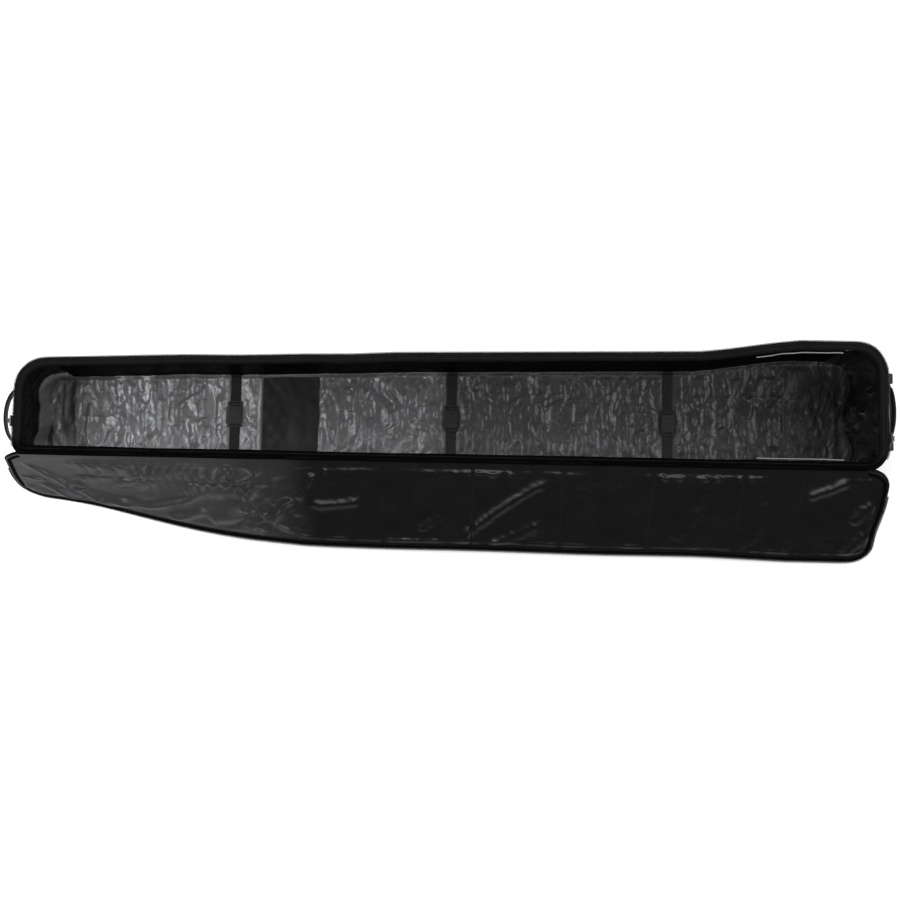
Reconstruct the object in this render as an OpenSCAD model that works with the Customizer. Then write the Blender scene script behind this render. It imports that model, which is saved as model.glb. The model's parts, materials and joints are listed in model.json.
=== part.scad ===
// Padded ski bag, lying open: a long tub whose lid is hinged on the front rim and hangs over it.
// +X runs along the bag to the boot end, +Y away from the hinge, +Z up.
// The origin is on the floor under the tub, half way along it.

/* [Tub] */
// Length of the tub over its end walls
tub_length = 2104; // [2000:4:2200]
// Height of the tub from the floor to the top of its rim
tub_height = 200; // [180:5:230]
// Width of the tub over its walls at the nose
nose_width = 230; // [215:1:240]
// Width of the tub at the shoulder, where the nose part ends
shoulder_width = 256; // [245:1:262]
// Width of the tub where the boot part begins
waist_width = 278; // [266:1:284]
// Width of the tub at the boot end
boot_width = 306; // [286:1:310]
// Thickness of the padded walls
wall = 16; // [12:1:18]
// Distance from the front wall's outer face to the origin
front_reach = 135; // [125:1:145]

/* [Lid] */
// Reach of the lid from the hinge at the nose
lid_nose_reach = 212; // [205:1:214]
// Reach of the lid at the seam of its loose nose flap
lid_flap_reach = 219; // [215:1:221]
// Reach of the lid at the shoulder
lid_shoulder_reach = 266; // [255:1:270]
// Reach of the lid where the boot part begins
lid_waist_reach = 284; // [270:1:288]
// Reach of the lid at the boot end
lid_boot_reach = 295; // [280:1:297]
// Thickness of the padded lid
lid_thickness = 12; // [9:0.5:12]
// Thickness of the unpadded nose flap
flap_thickness = 6; // [4:0.5:6]
// Slope of the open lid below the horizontal
lid_droop = 40.5; // [30:0.5:40.5]
// Slope of the open nose flap below the horizontal
flap_droop = 64; // [55:0.5:64]

/* [Webbing and fittings] */
// Width of the inner straps
strap_width = 25; // [20:1:30]
// Thickness of the inner straps
strap_thickness = 1.6; // [1.2:0.1:1.8]
// Distance between neighbouring inner straps
strap_spacing = 548; // [450:2:600]
// Width of the webbing of the carrying handles
handle_width = 30; // [25:1:34]
// How far the end handles stand out from the walls
end_handle_reach = 50; // [40:1:52]
// Length of the sliders' pull tabs
pull_length = 36; // [25:1:38]

/* [Hidden] */
$fn = 32;

// Stations along the bag
half = tub_length / 2;
flap_x = -0.85 * half;
shoulder_x = -0.342 * half;
waist_x = 0.571 * half;
heel_x = 0.802 * half;
front_y = -front_reach;

// Widths of the tub and reaches of the lid at those stations
tub_widths = [
    [-half, nose_width], [shoulder_x, shoulder_width], [waist_x, waist_width],
    [heel_x, boot_width], [half, boot_width]
];
lid_widths = [
    [-half, lid_nose_reach], [flap_x, lid_flap_reach], [shoulder_x, lid_shoulder_reach],
    [waist_x, lid_waist_reach], [heel_x, lid_boot_reach], [half, lid_boot_reach]
];
// Corner radii: front at the nose, front at the boot end, back at the boot end, back at the nose
tub_radii = [25, 55, 72, 72];
lid_radii = [25, 55, 45, 60];
arc_steps = 8;

// Bounds of the regions that cut shapes off, all clear of the bag
far_x = half + 60;
near_y = front_y - 60;
far_y = 260;
far_z = 400;
under = 1;
front_zone = 60;

// Layers of the floor and the walls
base_sheet = 4;
board = 4;
lining = 1.5;
floor_z = base_sheet + board + 2;
inner = wall + lining;
tape = 2;
wall_top = tub_height - tape;

// Zipper
tooth_out = 3;
tooth_height = 4;
play = 0.5;

// Hinge of the lid: its axis lies just over the front rim
hinge_z = tub_height + 3;
lid_turn = 180 + lid_droop;
flap_turn = 180 + flap_droop;
hinge_gap = 20;
flap_hinge_gap = 24;
seam_gap = 1;

// Handles
handle_z = 100;
nose_handle_y = -33;
boot_handle_y = 20;
handle_pivot = handle_width / 2 + 3;
side_handle_z = 152;
side_handle_drop = 78;
side_handle_half = 72;
webbing = 4;

function back_y(widths, x) = front_y + lookup(x, widths);

function arc(x, y, r, a0, a1) =
    [for (i = [0 : arc_steps]) let (a = a0 + (a1 - a0) * i / arc_steps) [x + r * cos(a), y + r * sin(a)]];

// The plan outline, drawn in by d from the outer face
function outline(widths, radii, d) = concat(
    arc(-half + radii[0], front_y + radii[0], radii[0] - d, 180, 270),
    arc(half - radii[1], front_y + radii[1], radii[1] - d, 270, 360),
    arc(half - radii[2], back_y(widths, half - radii[2]) - radii[2], radii[2] - d, 0, 90),
    [for (i = [len(widths) - 2 : -1 : 1]) [widths[i][0], back_y(widths, widths[i][0]) - d]],
    arc(-half + radii[3], back_y(widths, -half + radii[3]) - radii[3], radii[3] - d, 90, 180)
);

// A band of even thickness along a path in the plane
function side(path, i, t) =
    let (a = path[max(i - 1, 0)], b = path[min(i + 1, len(path) - 1)], v = (b - a) / norm(b - a))
    path[i] + t * [-v[1], v[0]];
function band(path, t) = concat(
    [for (i = [0 : len(path) - 1]) side(path, i, t / 2)],
    [for (i = [len(path) - 1 : -1 : 0]) side(path, i, -t / 2)]
);

module plate(widths, radii, d, z0, z1)
    translate([0, 0, z0]) linear_extrude(z1 - z0) polygon(outline(widths, radii, d));

module frame_of(widths, radii, d0, d1, z0, z1)
    difference() {
        plate(widths, radii, d0, z0, z1);
        plate(widths, radii, d1, z0 - 1, z1 + 1);
    }

module box(p, q) translate(p) cube(q - p);

module tub_ring(d0, d1, z0, z1) frame_of(tub_widths, tub_radii, d0, d1, z0, z1);

// Regions that split the tub's walls at their corner seams
nose_seam = -half + 90;
boot_seam = half - 105;
module nose_part() box([-far_x, near_y, -under], [nose_seam, far_y, far_z]);
module boot_part() box([boot_seam, near_y, -under], [far_x, far_y, far_z]);
module front_part() box([nose_seam, near_y, -under], [boot_seam, front_y + front_zone, far_z]);
module back_part() box([nose_seam, front_y + front_zone, -under], [boot_seam, far_y, far_z]);

// The zipper's run: both ends and the back, without the hinge side
module zip_run() difference() {
    box([-far_x, front_y + 2, 0], [far_x, far_y, far_z]);
    box([-half + tub_radii[0], near_y, -under], [half - tub_radii[1], front_y + front_zone, far_z + under]);
}

// Tub ---------------------------------------------------------------------------------------

module base_panel() color("#17181a") plate(tub_widths, tub_radii, 0, 0, base_sheet);
module base_board() color("#3a3a3c") plate(tub_widths, tub_radii, wall, base_sheet, base_sheet + board);
module base_piping() color("#101113") tub_ring(-3, 0, base_sheet, base_sheet + 6);

module front_wall() color("#1b1c1f") intersection() {
    tub_ring(0, wall, base_sheet, wall_top);
    front_part();
}
// The back wall is sewn from four straight padded panels
module back_wall(x0, x1) color("#1b1c1f") intersection() {
    tub_ring(0, wall, base_sheet, wall_top);
    box([x0, front_y + front_zone, -under], [x1, far_y, far_z]);
}
module nose_wall() color("#1b1c1f") intersection() {
    tub_ring(0, wall, base_sheet, wall_top);
    nose_part();
}
module boot_wall() color("#1b1c1f") intersection() {
    tub_ring(0, wall, base_sheet, wall_top);
    boot_part();
}

module lining_ring() tub_ring(wall, inner, base_sheet + board, wall_top);
module side_lining() color("#26272a") intersection() {
    lining_ring();
    union() {
        front_part();
        back_part();
    }
}
module nose_lining() color("#26272a") intersection() {
    lining_ring();
    nose_part();
}
module boot_lining() color("#0c0c0d") intersection() {
    lining_ring();
    boot_part();
}
module floor_lining() color("#6b6d70") plate(tub_widths, tub_radii, inner, base_sheet + board, floor_z);

label_x0 = -479;
label_x1 = -337;
module label_panel() color("#0e0e0f") intersection() {
    plate(tub_widths, tub_radii, inner + 1, floor_z, floor_z + 0.6);
    box([label_x0, front_y, 0], [label_x1, far_y, tub_height]);
}

// Glossy edging on the inner faces of the long walls beside the boots
module edge_strips() color("#d0d0d4") intersection() {
    tub_ring(inner, inner + 2, tub_height - 14, tub_height - 10);
    box([0.7 * half, front_y, 0], [0.9 * half, far_y, tub_height]);
}

// Rim and zipper -----------------------------------------------------------------------------

module rim_piping() color("#0d0d0f") tub_ring(-3, 0, tub_height - 14, tub_height - 8);
module rim_tape() color("#2c2d30") intersection() {
    tub_ring(0, inner, wall_top, tub_height);
    zip_run();
}
module rim_teeth() color("#0a0a0b") intersection() {
    tub_ring(-tooth_out, 0, tub_height - 3.5, tub_height + 0.5);
    zip_run();
}
// Crimped stops at both ends of the chain, next to the hinge
module zip_stops() color("#8a8c90") {
    for (end = [-1, 1])
        translate([end * (half + tooth_out / 2), front_y + 60, tub_height - 1.5])
            rotate([90, 0, 0]) translate([0, 0, -2]) intersection() {
                cylinder(h = 4, r = 3);
                box([end > 0 ? 1.5 : -3, -1.8, 0], [end > 0 ? 3 : -1.5, 1.8, 4]);
            }
}
module hinge_tape() color("#222326")
    box([-half + tub_radii[0], front_y, wall_top], [half - tub_radii[1], front_y + inner, tub_height]);

// Inner compression straps ----------------------------------------------------------------------

socket_length = 34;
socket_half = 16;
socket_y0 = -30;
socket_y1 = socket_y0 + socket_length;
buckle_z0 = floor_z + strap_thickness + 0.4;
buckle_height = 8;
upstand = 24;
slot = 3.5;

// A strap half lies on the floor and turns up the wall, where it is sewn in
module strap(x, y0, y1, wall_side) color("#151517") {
    box([x - strap_width / 2, y0, floor_z], [x + strap_width / 2, y1, floor_z + strap_thickness]);
    translate([0, wall_side > 0 ? y1 - strap_thickness : y0, 0])
        box([x - strap_width / 2, 0, floor_z], [x + strap_width / 2, strap_thickness, floor_z + upstand]);
}
module strap_front(x) strap(x, front_y + inner + 0.5, socket_y0 + 4, -1);
module strap_back(x) strap(x, socket_y1 + 14, back_y(tub_widths, x - strap_width / 2) - inner - 0.5, 1);

// Side-release buckle: the socket's hollow opens towards +Y and both sides have a window
module buckle_socket(x) color("#09090a") translate([x, 0, buckle_z0]) difference() {
    union() {
        box([-socket_half, socket_y0, 0], [socket_half, socket_y1, buckle_height]);
        box([-socket_half, socket_y0 - 9, 1], [socket_half, socket_y0, 5]);
    }
    box([-11, socket_y0 + 6, 1.8], [11, socket_y1 + 1, buckle_height - 1.8]);
    for (s = [-1, 1])
        box([s * 14 - 4, socket_y0 + 10, 1.8], [s * 14 + 4, socket_y0 + 20, buckle_height - 1.8]);
    box([-13, socket_y0 - 6, -1], [13, socket_y0 - 6 + slot, buckle_height]);
}
// The plug's two arms and middle guide run in the hollow, its frame carries the strap
module buckle_plug(x) color("#09090a") translate([x, 0, buckle_z0]) difference() {
    union() {
        box([-socket_half, socket_y1 + 0.5, 0], [socket_half, socket_y1 + 8, buckle_height]);
        box([-socket_half, socket_y1 + 8, 1], [socket_half, socket_y1 + 22, 5]);
        for (s = [-1, 1])
            box([s * 8.5 - 2, socket_y0 + 9, 2.4], [s * 8.5 + 2, socket_y1 + 1, buckle_height - 2.4]);
        box([-2, socket_y0 + 14, 2.4], [2, socket_y1 + 1, buckle_height - 2.4]);
    }
    for (k = [10, 16])
        box([-13, socket_y1 + k, -1], [13, socket_y1 + k + slot, buckle_height]);
}

// End fittings -----------------------------------------------------------------------------------

// Loops of webbing beside the boot handle: each is a flattened ring on a sewn patch
patch = 2.5;
loop_z = 144;
loop_half = 12;
loop_reach = 28;
module lash_loops() color("#242529") {
    for (y = [-68, 97]) {
        translate([half, y + loop_half, loop_z]) rotate([90, 0, 0]) linear_extrude(2 * loop_half)
            polygon(band(concat(
                [[patch - 0.5, 14]], arc(loop_reach - 13, 0, 12, 80, -80), [[patch - 0.5, -14]]
            ), 2));
        intersection() {
            tub_ring(-patch, 0, loop_z - 17, loop_z + 17);
            box([half - 60, y - loop_half - 3, 0], [far_x, y + loop_half + 3, tub_height]);
        }
    }
}

// The loop of an end handle, seen from above, standing out from the wall at +X
function end_loop(reach, spread) = concat(
    [[patch + 0.5, -spread]],
    [for (a = [-70 : 14 : 70]) [reach * pow(cos(a), 0.7), (spread + 4) * sin(a) / sin(70)]],
    [[patch + 0.5, spread]]
);
// Its ends are rounded about the pivot line, so that they clear the wall as the handle swings
module end_webbing(spread, thick) intersection() {
    translate([0, 0, handle_z - handle_width / 2]) linear_extrude(handle_width)
        polygon(band(end_loop(end_handle_reach, spread), thick));
    union() {
        box([handle_pivot, -150, 0], [100, 150, tub_height]);
        translate([handle_pivot, 150, handle_z]) rotate([90, 0, 0]) cylinder(h = 300, r = handle_width / 2);
    }
}

module nose_handle() color("#141416")
    translate([-half, nose_handle_y, 0]) mirror([1, 0, 0]) end_webbing(62, webbing);
module boot_handle_webbing() color("#141416")
    translate([half, boot_handle_y, 0]) end_webbing(78, 3);
// Padded wrap round the middle of the boot handle
module boot_handle_grip() color("#1c1d20") translate([half, boot_handle_y, 0]) difference() {
    translate([0, 0, handle_z - 19]) linear_extrude(38) polygon(band(grip_path(), 11));
    translate([0, 0, handle_z - handle_width / 2]) linear_extrude(handle_width)
        polygon(band(end_loop(end_handle_reach, 78), 3));
}
function grip_path() = [for (p = end_loop(end_handle_reach, 78)) if (abs(p[1]) < 62) p];

// Patches sewn on the walls where the webbing ends
module end_patches(end, y, spread) intersection() {
    tub_ring(-patch, 0, handle_z - 20, handle_z + 20);
    union() for (s = [-1, 1])
        box([end * half - 60, y + s * spread - 18, 0], [end * half + 60, y + s * spread + 18, tub_height]);
}
module nose_handle_patches() color("#1f2023") end_patches(-1, nose_handle_y, 62);
module boot_handle_patches() color("#1f2023") end_patches(1, boot_handle_y, 78);

// Carrying handles on the long walls hang flat from a line of stitching
function hanging_loop() = [for (i = [0 : 12]) let (a = 180 * i / 12)
    [-side_handle_half * cos(a) * (i == 0 || i == 12 ? 0.9 : 1), -side_handle_drop * pow(sin(a), 0.6)]];
module side_loop(y) translate([0, y, side_handle_z]) rotate([90, 0, 0]) linear_extrude(3)
    difference() {
        polygon(concat([[-side_handle_half * 0.9, -2]], hanging_loop(), [[side_handle_half * 0.9, -2]]));
        polygon([for (p = hanging_loop()) [p[0] * 0.62, p[1] * 0.62 + (p[1] > -1 ? 1 : 0)]]);
    }
back_handle_y = back_y(tub_widths, 0);
module back_handle() color("#141416") side_loop(back_handle_y + 6.5);
module front_handle() color("#141416") side_loop(front_y - 3.5);
module back_handle_grip() color("#1c1d20") difference() {
    box([-38, back_handle_y + 2.5, side_handle_z - side_handle_drop - 2],
        [38, back_handle_y + 7.5, side_handle_z - 0.6 * side_handle_drop]);
    side_loop(back_handle_y + 6.5);
}
module side_patches(y0, y1) intersection() {
    tub_ring(-patch, 0, side_handle_z + 2, side_handle_z + 30);
    union() for (s = [-1, 1])
        box([s * 55 - 18, y0, 0], [s * 55 + 18, y1, tub_height]);
}
module back_handle_patches() color("#1f2023") side_patches(0, 260);
module front_handle_patches() color("#1f2023") side_patches(front_y - 20, front_y + 20);

// Sliders and pulls ------------------------------------------------------------------------------

slider_y = front_y + 78;
slider_length = 26;
slider_face = tooth_out + play;
pull_axis_x = half + slider_face + 6;
pull_axis_z = tub_height + 1;
pull_pin_r = 1.2;

// The slider runs outside the chain and hooks under the tub's teeth
module slider() {
    x0 = half + slider_face;
    difference() {
        union() {
            box([x0, slider_y - slider_length / 2, tub_height - 6],
                [x0 + 3, slider_y + slider_length / 2, tub_height + 8]);
            box([half + play, slider_y - slider_length / 2, tub_height - 6],
                [x0, slider_y + slider_length / 2, tub_height - 4]);
            for (s = [-1, 1])
                box([x0 + 3, slider_y + s * 4 - 1.5, pull_axis_z - 3.5],
                    [x0 + 9, slider_y + s * 4 + 1.5, pull_axis_z + 3.5]);
        }
        translate([pull_axis_x, slider_y - 20, pull_axis_z]) rotate([-90, 0, 0])
            cylinder(h = 40, r = pull_pin_r + 0.05);
    }
}
// The pull's eye turns on a pin between the slider's ears
module pull() {
    translate([pull_axis_x, slider_y - 5.4, pull_axis_z]) rotate([-90, 0, 0]) cylinder(h = 10.8, r = pull_pin_r);
    translate([pull_axis_x, slider_y - 2, pull_axis_z]) rotate([-90, 0, 0]) cylinder(h = 4, r = 2.4);
    box([pull_axis_x - 1.2, slider_y - 2, pull_axis_z - 9], [pull_axis_x + 1.2, slider_y + 2, pull_axis_z]);
    box([pull_axis_x - 1.4, slider_y - 5, pull_axis_z - pull_length],
        [pull_axis_x + 1.4, slider_y + 5, pull_axis_z - 8]);
}
module slider_boot() color("#7d8085") slider();
module slider_nose() color("#7d8085") mirror([1, 0, 0]) slider();
module pull_boot() color("#2a2b2e") pull();
module pull_nose() color("#2a2b2e") mirror([1, 0, 0]) pull();

// Lid --------------------------------------------------------------------------------------------
// The lid is drawn shut, lying on the rim, and then swung out about the hinge.

module swing(angle) translate([0, front_y, hinge_z]) rotate([angle, 0, 0]) translate([0, -front_y, -hinge_z])
    children();
module lid_plate(d, t0, t1) plate(lid_widths, lid_radii, d, hinge_z + t0, hinge_z + t1);
module lid_ring(d0, d1, t0, t1) frame_of(lid_widths, lid_radii, d0, d1, hinge_z + t0, hinge_z + t1);
module main_area() box([flap_x + seam_gap, front_y + hinge_gap, 0], [far_x, far_y, far_z]);
module flap_area() box([-far_x, front_y + flap_hinge_gap, 0], [flap_x - seam_gap, far_y, far_z]);
// The edge band leaves out the hinge side
edge = 2;
band_width = 18;
gusset = 8;
module lid_edge_only() difference() {
    box([-far_x, front_y, 0], [far_x, far_y, far_z]);
    box([-half + band_width, near_y, -under], [half - band_width, front_y + front_zone, far_z + under]);
}
skin = 2;

module foam_area() box([flap_x + gusset, front_y + hinge_gap + gusset, 0], [far_x, far_y, far_z]);
module lid_shell() color("#141417") swing(lid_turn) intersection() {
    lid_plate(edge, lid_thickness - skin, lid_thickness);
    main_area();
}
// The gusset is the strip that closes the pad's edge between its two faces
module lid_gusset() color("#141417") swing(lid_turn) difference() {
    intersection() {
        lid_plate(edge, skin, lid_thickness - skin);
        main_area();
    }
    intersection() {
        lid_plate(gusset, 0, lid_thickness);
        foam_area();
    }
}
module lid_foam() color("#55565a") swing(lid_turn) intersection() {
    lid_plate(gusset, skin, lid_thickness - skin);
    foam_area();
}
module lid_lining() color("#202124") swing(lid_turn) intersection() {
    lid_plate(band_width, play, skin);
    main_area();
}
module lid_tape() color("#2c2d30") swing(lid_turn) intersection() {
    lid_ring(edge, band_width, play, skin);
    main_area();
    lid_edge_only();
}
module lid_binding() color("#0d0d0f") swing(lid_turn) intersection() {
    lid_ring(0, edge, play, lid_thickness);
    main_area();
}
module lid_teeth() color("#0a0a0b") swing(lid_turn) intersection() {
    lid_ring(-tooth_out, 0, play, play + tooth_height - 0.5);
    main_area();
    lid_edge_only();
}
module lid_hinge_tape() color("#222326") swing(lid_turn)
    box([flap_x + seam_gap, front_y + 3, hinge_z + play],
        [half - lid_radii[1], front_y + hinge_gap, hinge_z + skin]);

module flap_shell() color("#2a2b2e") swing(flap_turn) intersection() {
    lid_plate(edge, skin, flap_thickness);
    flap_area();
}
module flap_lining() color("#47494d") swing(flap_turn) intersection() {
    lid_plate(band_width, play, skin);
    flap_area();
}
module flap_tape() color("#2c2d30") swing(flap_turn) intersection() {
    lid_ring(edge, band_width, play, skin);
    flap_area();
    lid_edge_only();
}
module flap_binding() color("#0d0d0f") swing(flap_turn) intersection() {
    lid_ring(0, edge, play, flap_thickness);
    flap_area();
}
module flap_teeth() color("#0a0a0b") swing(flap_turn) intersection() {
    lid_ring(-tooth_out, 0, play, play + tooth_height - 0.5);
    flap_area();
    lid_edge_only();
}
module flap_hinge_tape() color("#222326") swing(flap_turn)
    box([-half + lid_radii[0], front_y + 6, hinge_z + play],
        [flap_x - seam_gap, front_y + flap_hinge_gap, hinge_z + skin]);

base_panel();
base_board();
base_piping();
front_wall();
back_wall(nose_seam, shoulder_x);  // back_wall_nose
back_wall(shoulder_x, waist_x);  // back_wall_mid
back_wall(waist_x, heel_x);  // back_wall_boot
back_wall(heel_x, boot_seam);  // back_wall_heel
nose_wall();
boot_wall();
side_lining();
nose_lining();
boot_lining();
floor_lining();
label_panel();
edge_strips();
rim_piping();
rim_tape();
rim_teeth();
zip_stops();
hinge_tape();
strap_front(-strap_spacing);  // strap_front_nose
strap_front(0);  // strap_front_mid
strap_front(strap_spacing);  // strap_front_boot
strap_back(-strap_spacing);  // strap_back_nose
strap_back(0);  // strap_back_mid
strap_back(strap_spacing);  // strap_back_boot
buckle_socket(-strap_spacing);  // buckle_socket_nose
buckle_socket(0);  // buckle_socket_mid
buckle_socket(strap_spacing);  // buckle_socket_boot
buckle_plug(-strap_spacing);  // buckle_plug_nose
buckle_plug(0);  // buckle_plug_mid
buckle_plug(strap_spacing);  // buckle_plug_boot
lash_loops();
nose_handle_patches();
boot_handle_patches();
back_handle_patches();
front_handle_patches();
nose_handle();
boot_handle_webbing();
boot_handle_grip();
back_handle();
back_handle_grip();
front_handle();
slider_nose();
slider_boot();
pull_nose();
pull_boot();
lid_shell();
lid_gusset();
lid_foam();
lid_lining();
lid_binding();
lid_tape();
lid_teeth();
lid_hinge_tape();
flap_shell();
flap_lining();
flap_binding();
flap_tape();
flap_teeth();
flap_hinge_tape();
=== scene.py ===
"""Padded ski bag, lying open: cloth, zipper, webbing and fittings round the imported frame."""
import json
import math

import bpy
import numpy as np
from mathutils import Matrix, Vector


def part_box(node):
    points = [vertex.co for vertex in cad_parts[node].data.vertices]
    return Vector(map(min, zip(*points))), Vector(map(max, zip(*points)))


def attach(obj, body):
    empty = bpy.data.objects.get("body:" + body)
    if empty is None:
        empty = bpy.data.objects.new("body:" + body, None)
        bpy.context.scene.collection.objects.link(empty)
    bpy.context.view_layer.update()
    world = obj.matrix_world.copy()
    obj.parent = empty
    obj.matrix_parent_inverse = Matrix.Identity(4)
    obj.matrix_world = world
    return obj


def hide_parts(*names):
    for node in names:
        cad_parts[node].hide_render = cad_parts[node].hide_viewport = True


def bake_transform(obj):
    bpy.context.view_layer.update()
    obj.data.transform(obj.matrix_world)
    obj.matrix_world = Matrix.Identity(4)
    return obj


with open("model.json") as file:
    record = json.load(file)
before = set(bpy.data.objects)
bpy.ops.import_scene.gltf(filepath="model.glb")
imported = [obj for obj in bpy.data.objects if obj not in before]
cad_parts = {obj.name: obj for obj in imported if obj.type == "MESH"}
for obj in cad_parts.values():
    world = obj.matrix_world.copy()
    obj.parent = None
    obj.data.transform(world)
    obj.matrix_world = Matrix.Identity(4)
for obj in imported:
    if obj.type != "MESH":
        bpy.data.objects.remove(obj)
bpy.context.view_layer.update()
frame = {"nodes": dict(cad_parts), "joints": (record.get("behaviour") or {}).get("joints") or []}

# ---------------------------------------------------------------------------------------------
# Sizes, in metres, from the frame
# ---------------------------------------------------------------------------------------------

JOINTS = {joint["name"]: joint for joint in frame["joints"]}


def edge(node, side, axis):
    """One face of a CAD node's box: side 0 is low, 1 is high."""
    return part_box(node)[side][axis]


HALF = edge("base_panel", 1, 0)
RIM_Z = edge("rim_tape", 1, 2)
FLOOR_Z = edge("floor_lining", 1, 2)
FRONT_Y = edge("front_wall", 0, 1)
WALL = edge("front_wall", 1, 1) - FRONT_Y
LINED_WALL = edge("hinge_tape", 1, 1) - FRONT_Y
HINGE_Y = JOINTS["lid_hinge"]["pos_m"][1]
HINGE_Z = JOINTS["lid_hinge"]["pos_m"][2]
LID_SLOPE = math.radians(JOINTS["lid_hinge"]["range_deg"][1] - 180)
NOSE_EXTRA = math.radians(23.5)
FLAP_SEAM = edge("flap_shell", 1, 0)

# The lid's reach from the hinge at stations along the bag, as shares of the half length
LID_STATIONS = [-1, -0.85, -0.342, 0.571, 0.802, 1]
LID_REACHES = [0.212, 0.219, 0.266, 0.284, 0.295, 0.295]
LID_CORNERS = {"front_nose": 0.025, "front_boot": 0.055, "back_boot": 0.054, "back_nose": 0.060}
LID_THICK = 0.012
FLAP_THICK = 0.006
# The lid's nose droops more: the droop grows between these two stations
TWIST_START = -0.47
TWIST_END = -1.08
# Ribs sewn across the padded part of the lid
RIB_PITCH = 0.2178
RIB_FIRST = -0.162
RIB_COUNT = 5
# A fold across the lid, and the width of the sewn band round its edge
BOOT_FOLD = 0.853
BAND = 0.018
# Two seams beside the hinge at the nose hold the lining in gathers
GATHER_SEAMS = (0.030, 0.078)
GATHER_START = -0.90
GATHER_END = -0.56
# How far the lid's edge draws in along the bag, and flares out at its ends where the cloth hangs slack
LID_TUCK = 0.006
NOSE_FLARE = 0.024
BOOT_FLARE = 0.010

# ---------------------------------------------------------------------------------------------
# Camera
# ---------------------------------------------------------------------------------------------

CAMERA_PLACE = (0.0064, -0.4648, 3.6008)
CAMERA_TILT = math.radians(6.02)
CAMERA_ROLL = math.radians(1.17)
CAMERA_LENS = 57.05


def make_camera():
    data = bpy.data.cameras.new("camera")
    data.lens = CAMERA_LENS
    data.sensor_width = 36
    camera = bpy.data.objects.new("camera", data)
    bpy.context.scene.collection.objects.link(camera)
    camera.location = CAMERA_PLACE
    camera.rotation_euler = (CAMERA_TILT, 0, CAMERA_ROLL)
    bpy.context.scene.camera = camera


# ---------------------------------------------------------------------------------------------
# Noise
# ---------------------------------------------------------------------------------------------

def lattice(ix, iy, seed):
    n = (ix * 374761393 + iy * 668265263 + seed * 974634777) & 0xFFFFFFFF
    n = ((n ^ (n >> 13)) * 1274126177) & 0xFFFFFFFF
    return ((n ^ (n >> 16)) & 0xFFFFFF) / 0xFFFFFF


def noise(x, y, seed=0):
    """Smooth value noise from -1 to 1."""
    x, y = np.broadcast_arrays(np.asarray(x, float), np.asarray(y, float))
    ix, iy = np.floor(x).astype(np.int64), np.floor(y).astype(np.int64)
    fx, fy = x - ix, y - iy
    u = fx * fx * fx * (fx * (fx * 6 - 15) + 10)
    v = fy * fy * fy * (fy * (fy * 6 - 15) + 10)
    a = lattice(ix, iy, seed) * (1 - u) + lattice(ix + 1, iy, seed) * u
    b = lattice(ix, iy + 1, seed) * (1 - u) + lattice(ix + 1, iy + 1, seed) * u
    return (a * (1 - v) + b * v) * 2 - 1


def ridge(x, y, seed=0):
    """Sharp-crested noise from 0 to 1."""
    return 1 - np.abs(noise(x, y, seed))


def smooth(x, low, high):
    t = np.clip((np.asarray(x, float) - low) / (high - low), 0, 1)
    return t * t * (3 - 2 * t)


# ---------------------------------------------------------------------------------------------
# Cloth simulation
# ---------------------------------------------------------------------------------------------

SIMULATION_FRAMES = 20


def lengthen(a, extra, axis):
    """Stretches positions along one axis by a share that may change over the sheet."""
    a, extra = np.moveaxis(a, axis, 0), np.moveaxis(np.broadcast_to(extra, a.shape), axis, 0)
    grown = np.diff(a, axis=0) * (1 + (extra[:-1] + extra[1:]) / 2)
    out = np.concatenate([a[:1], a[:1] + np.cumsum(grown, axis=0)])
    return np.moveaxis(out, 0, axis)


def local_mean(a, cells):
    """Running average over a patch of cells, the ends held."""
    for axis in (0, 1):
        n = cells[axis]
        a = np.moveaxis(a, axis, 0)
        total = np.cumsum(np.concatenate([np.repeat(a[:1], n, 0), a, np.repeat(a[-1:], n, 0)]), 0)
        a = np.moveaxis((total[2 * n:] - total[:-2 * n]) / (2 * n), 0, axis)
    return a


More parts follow.
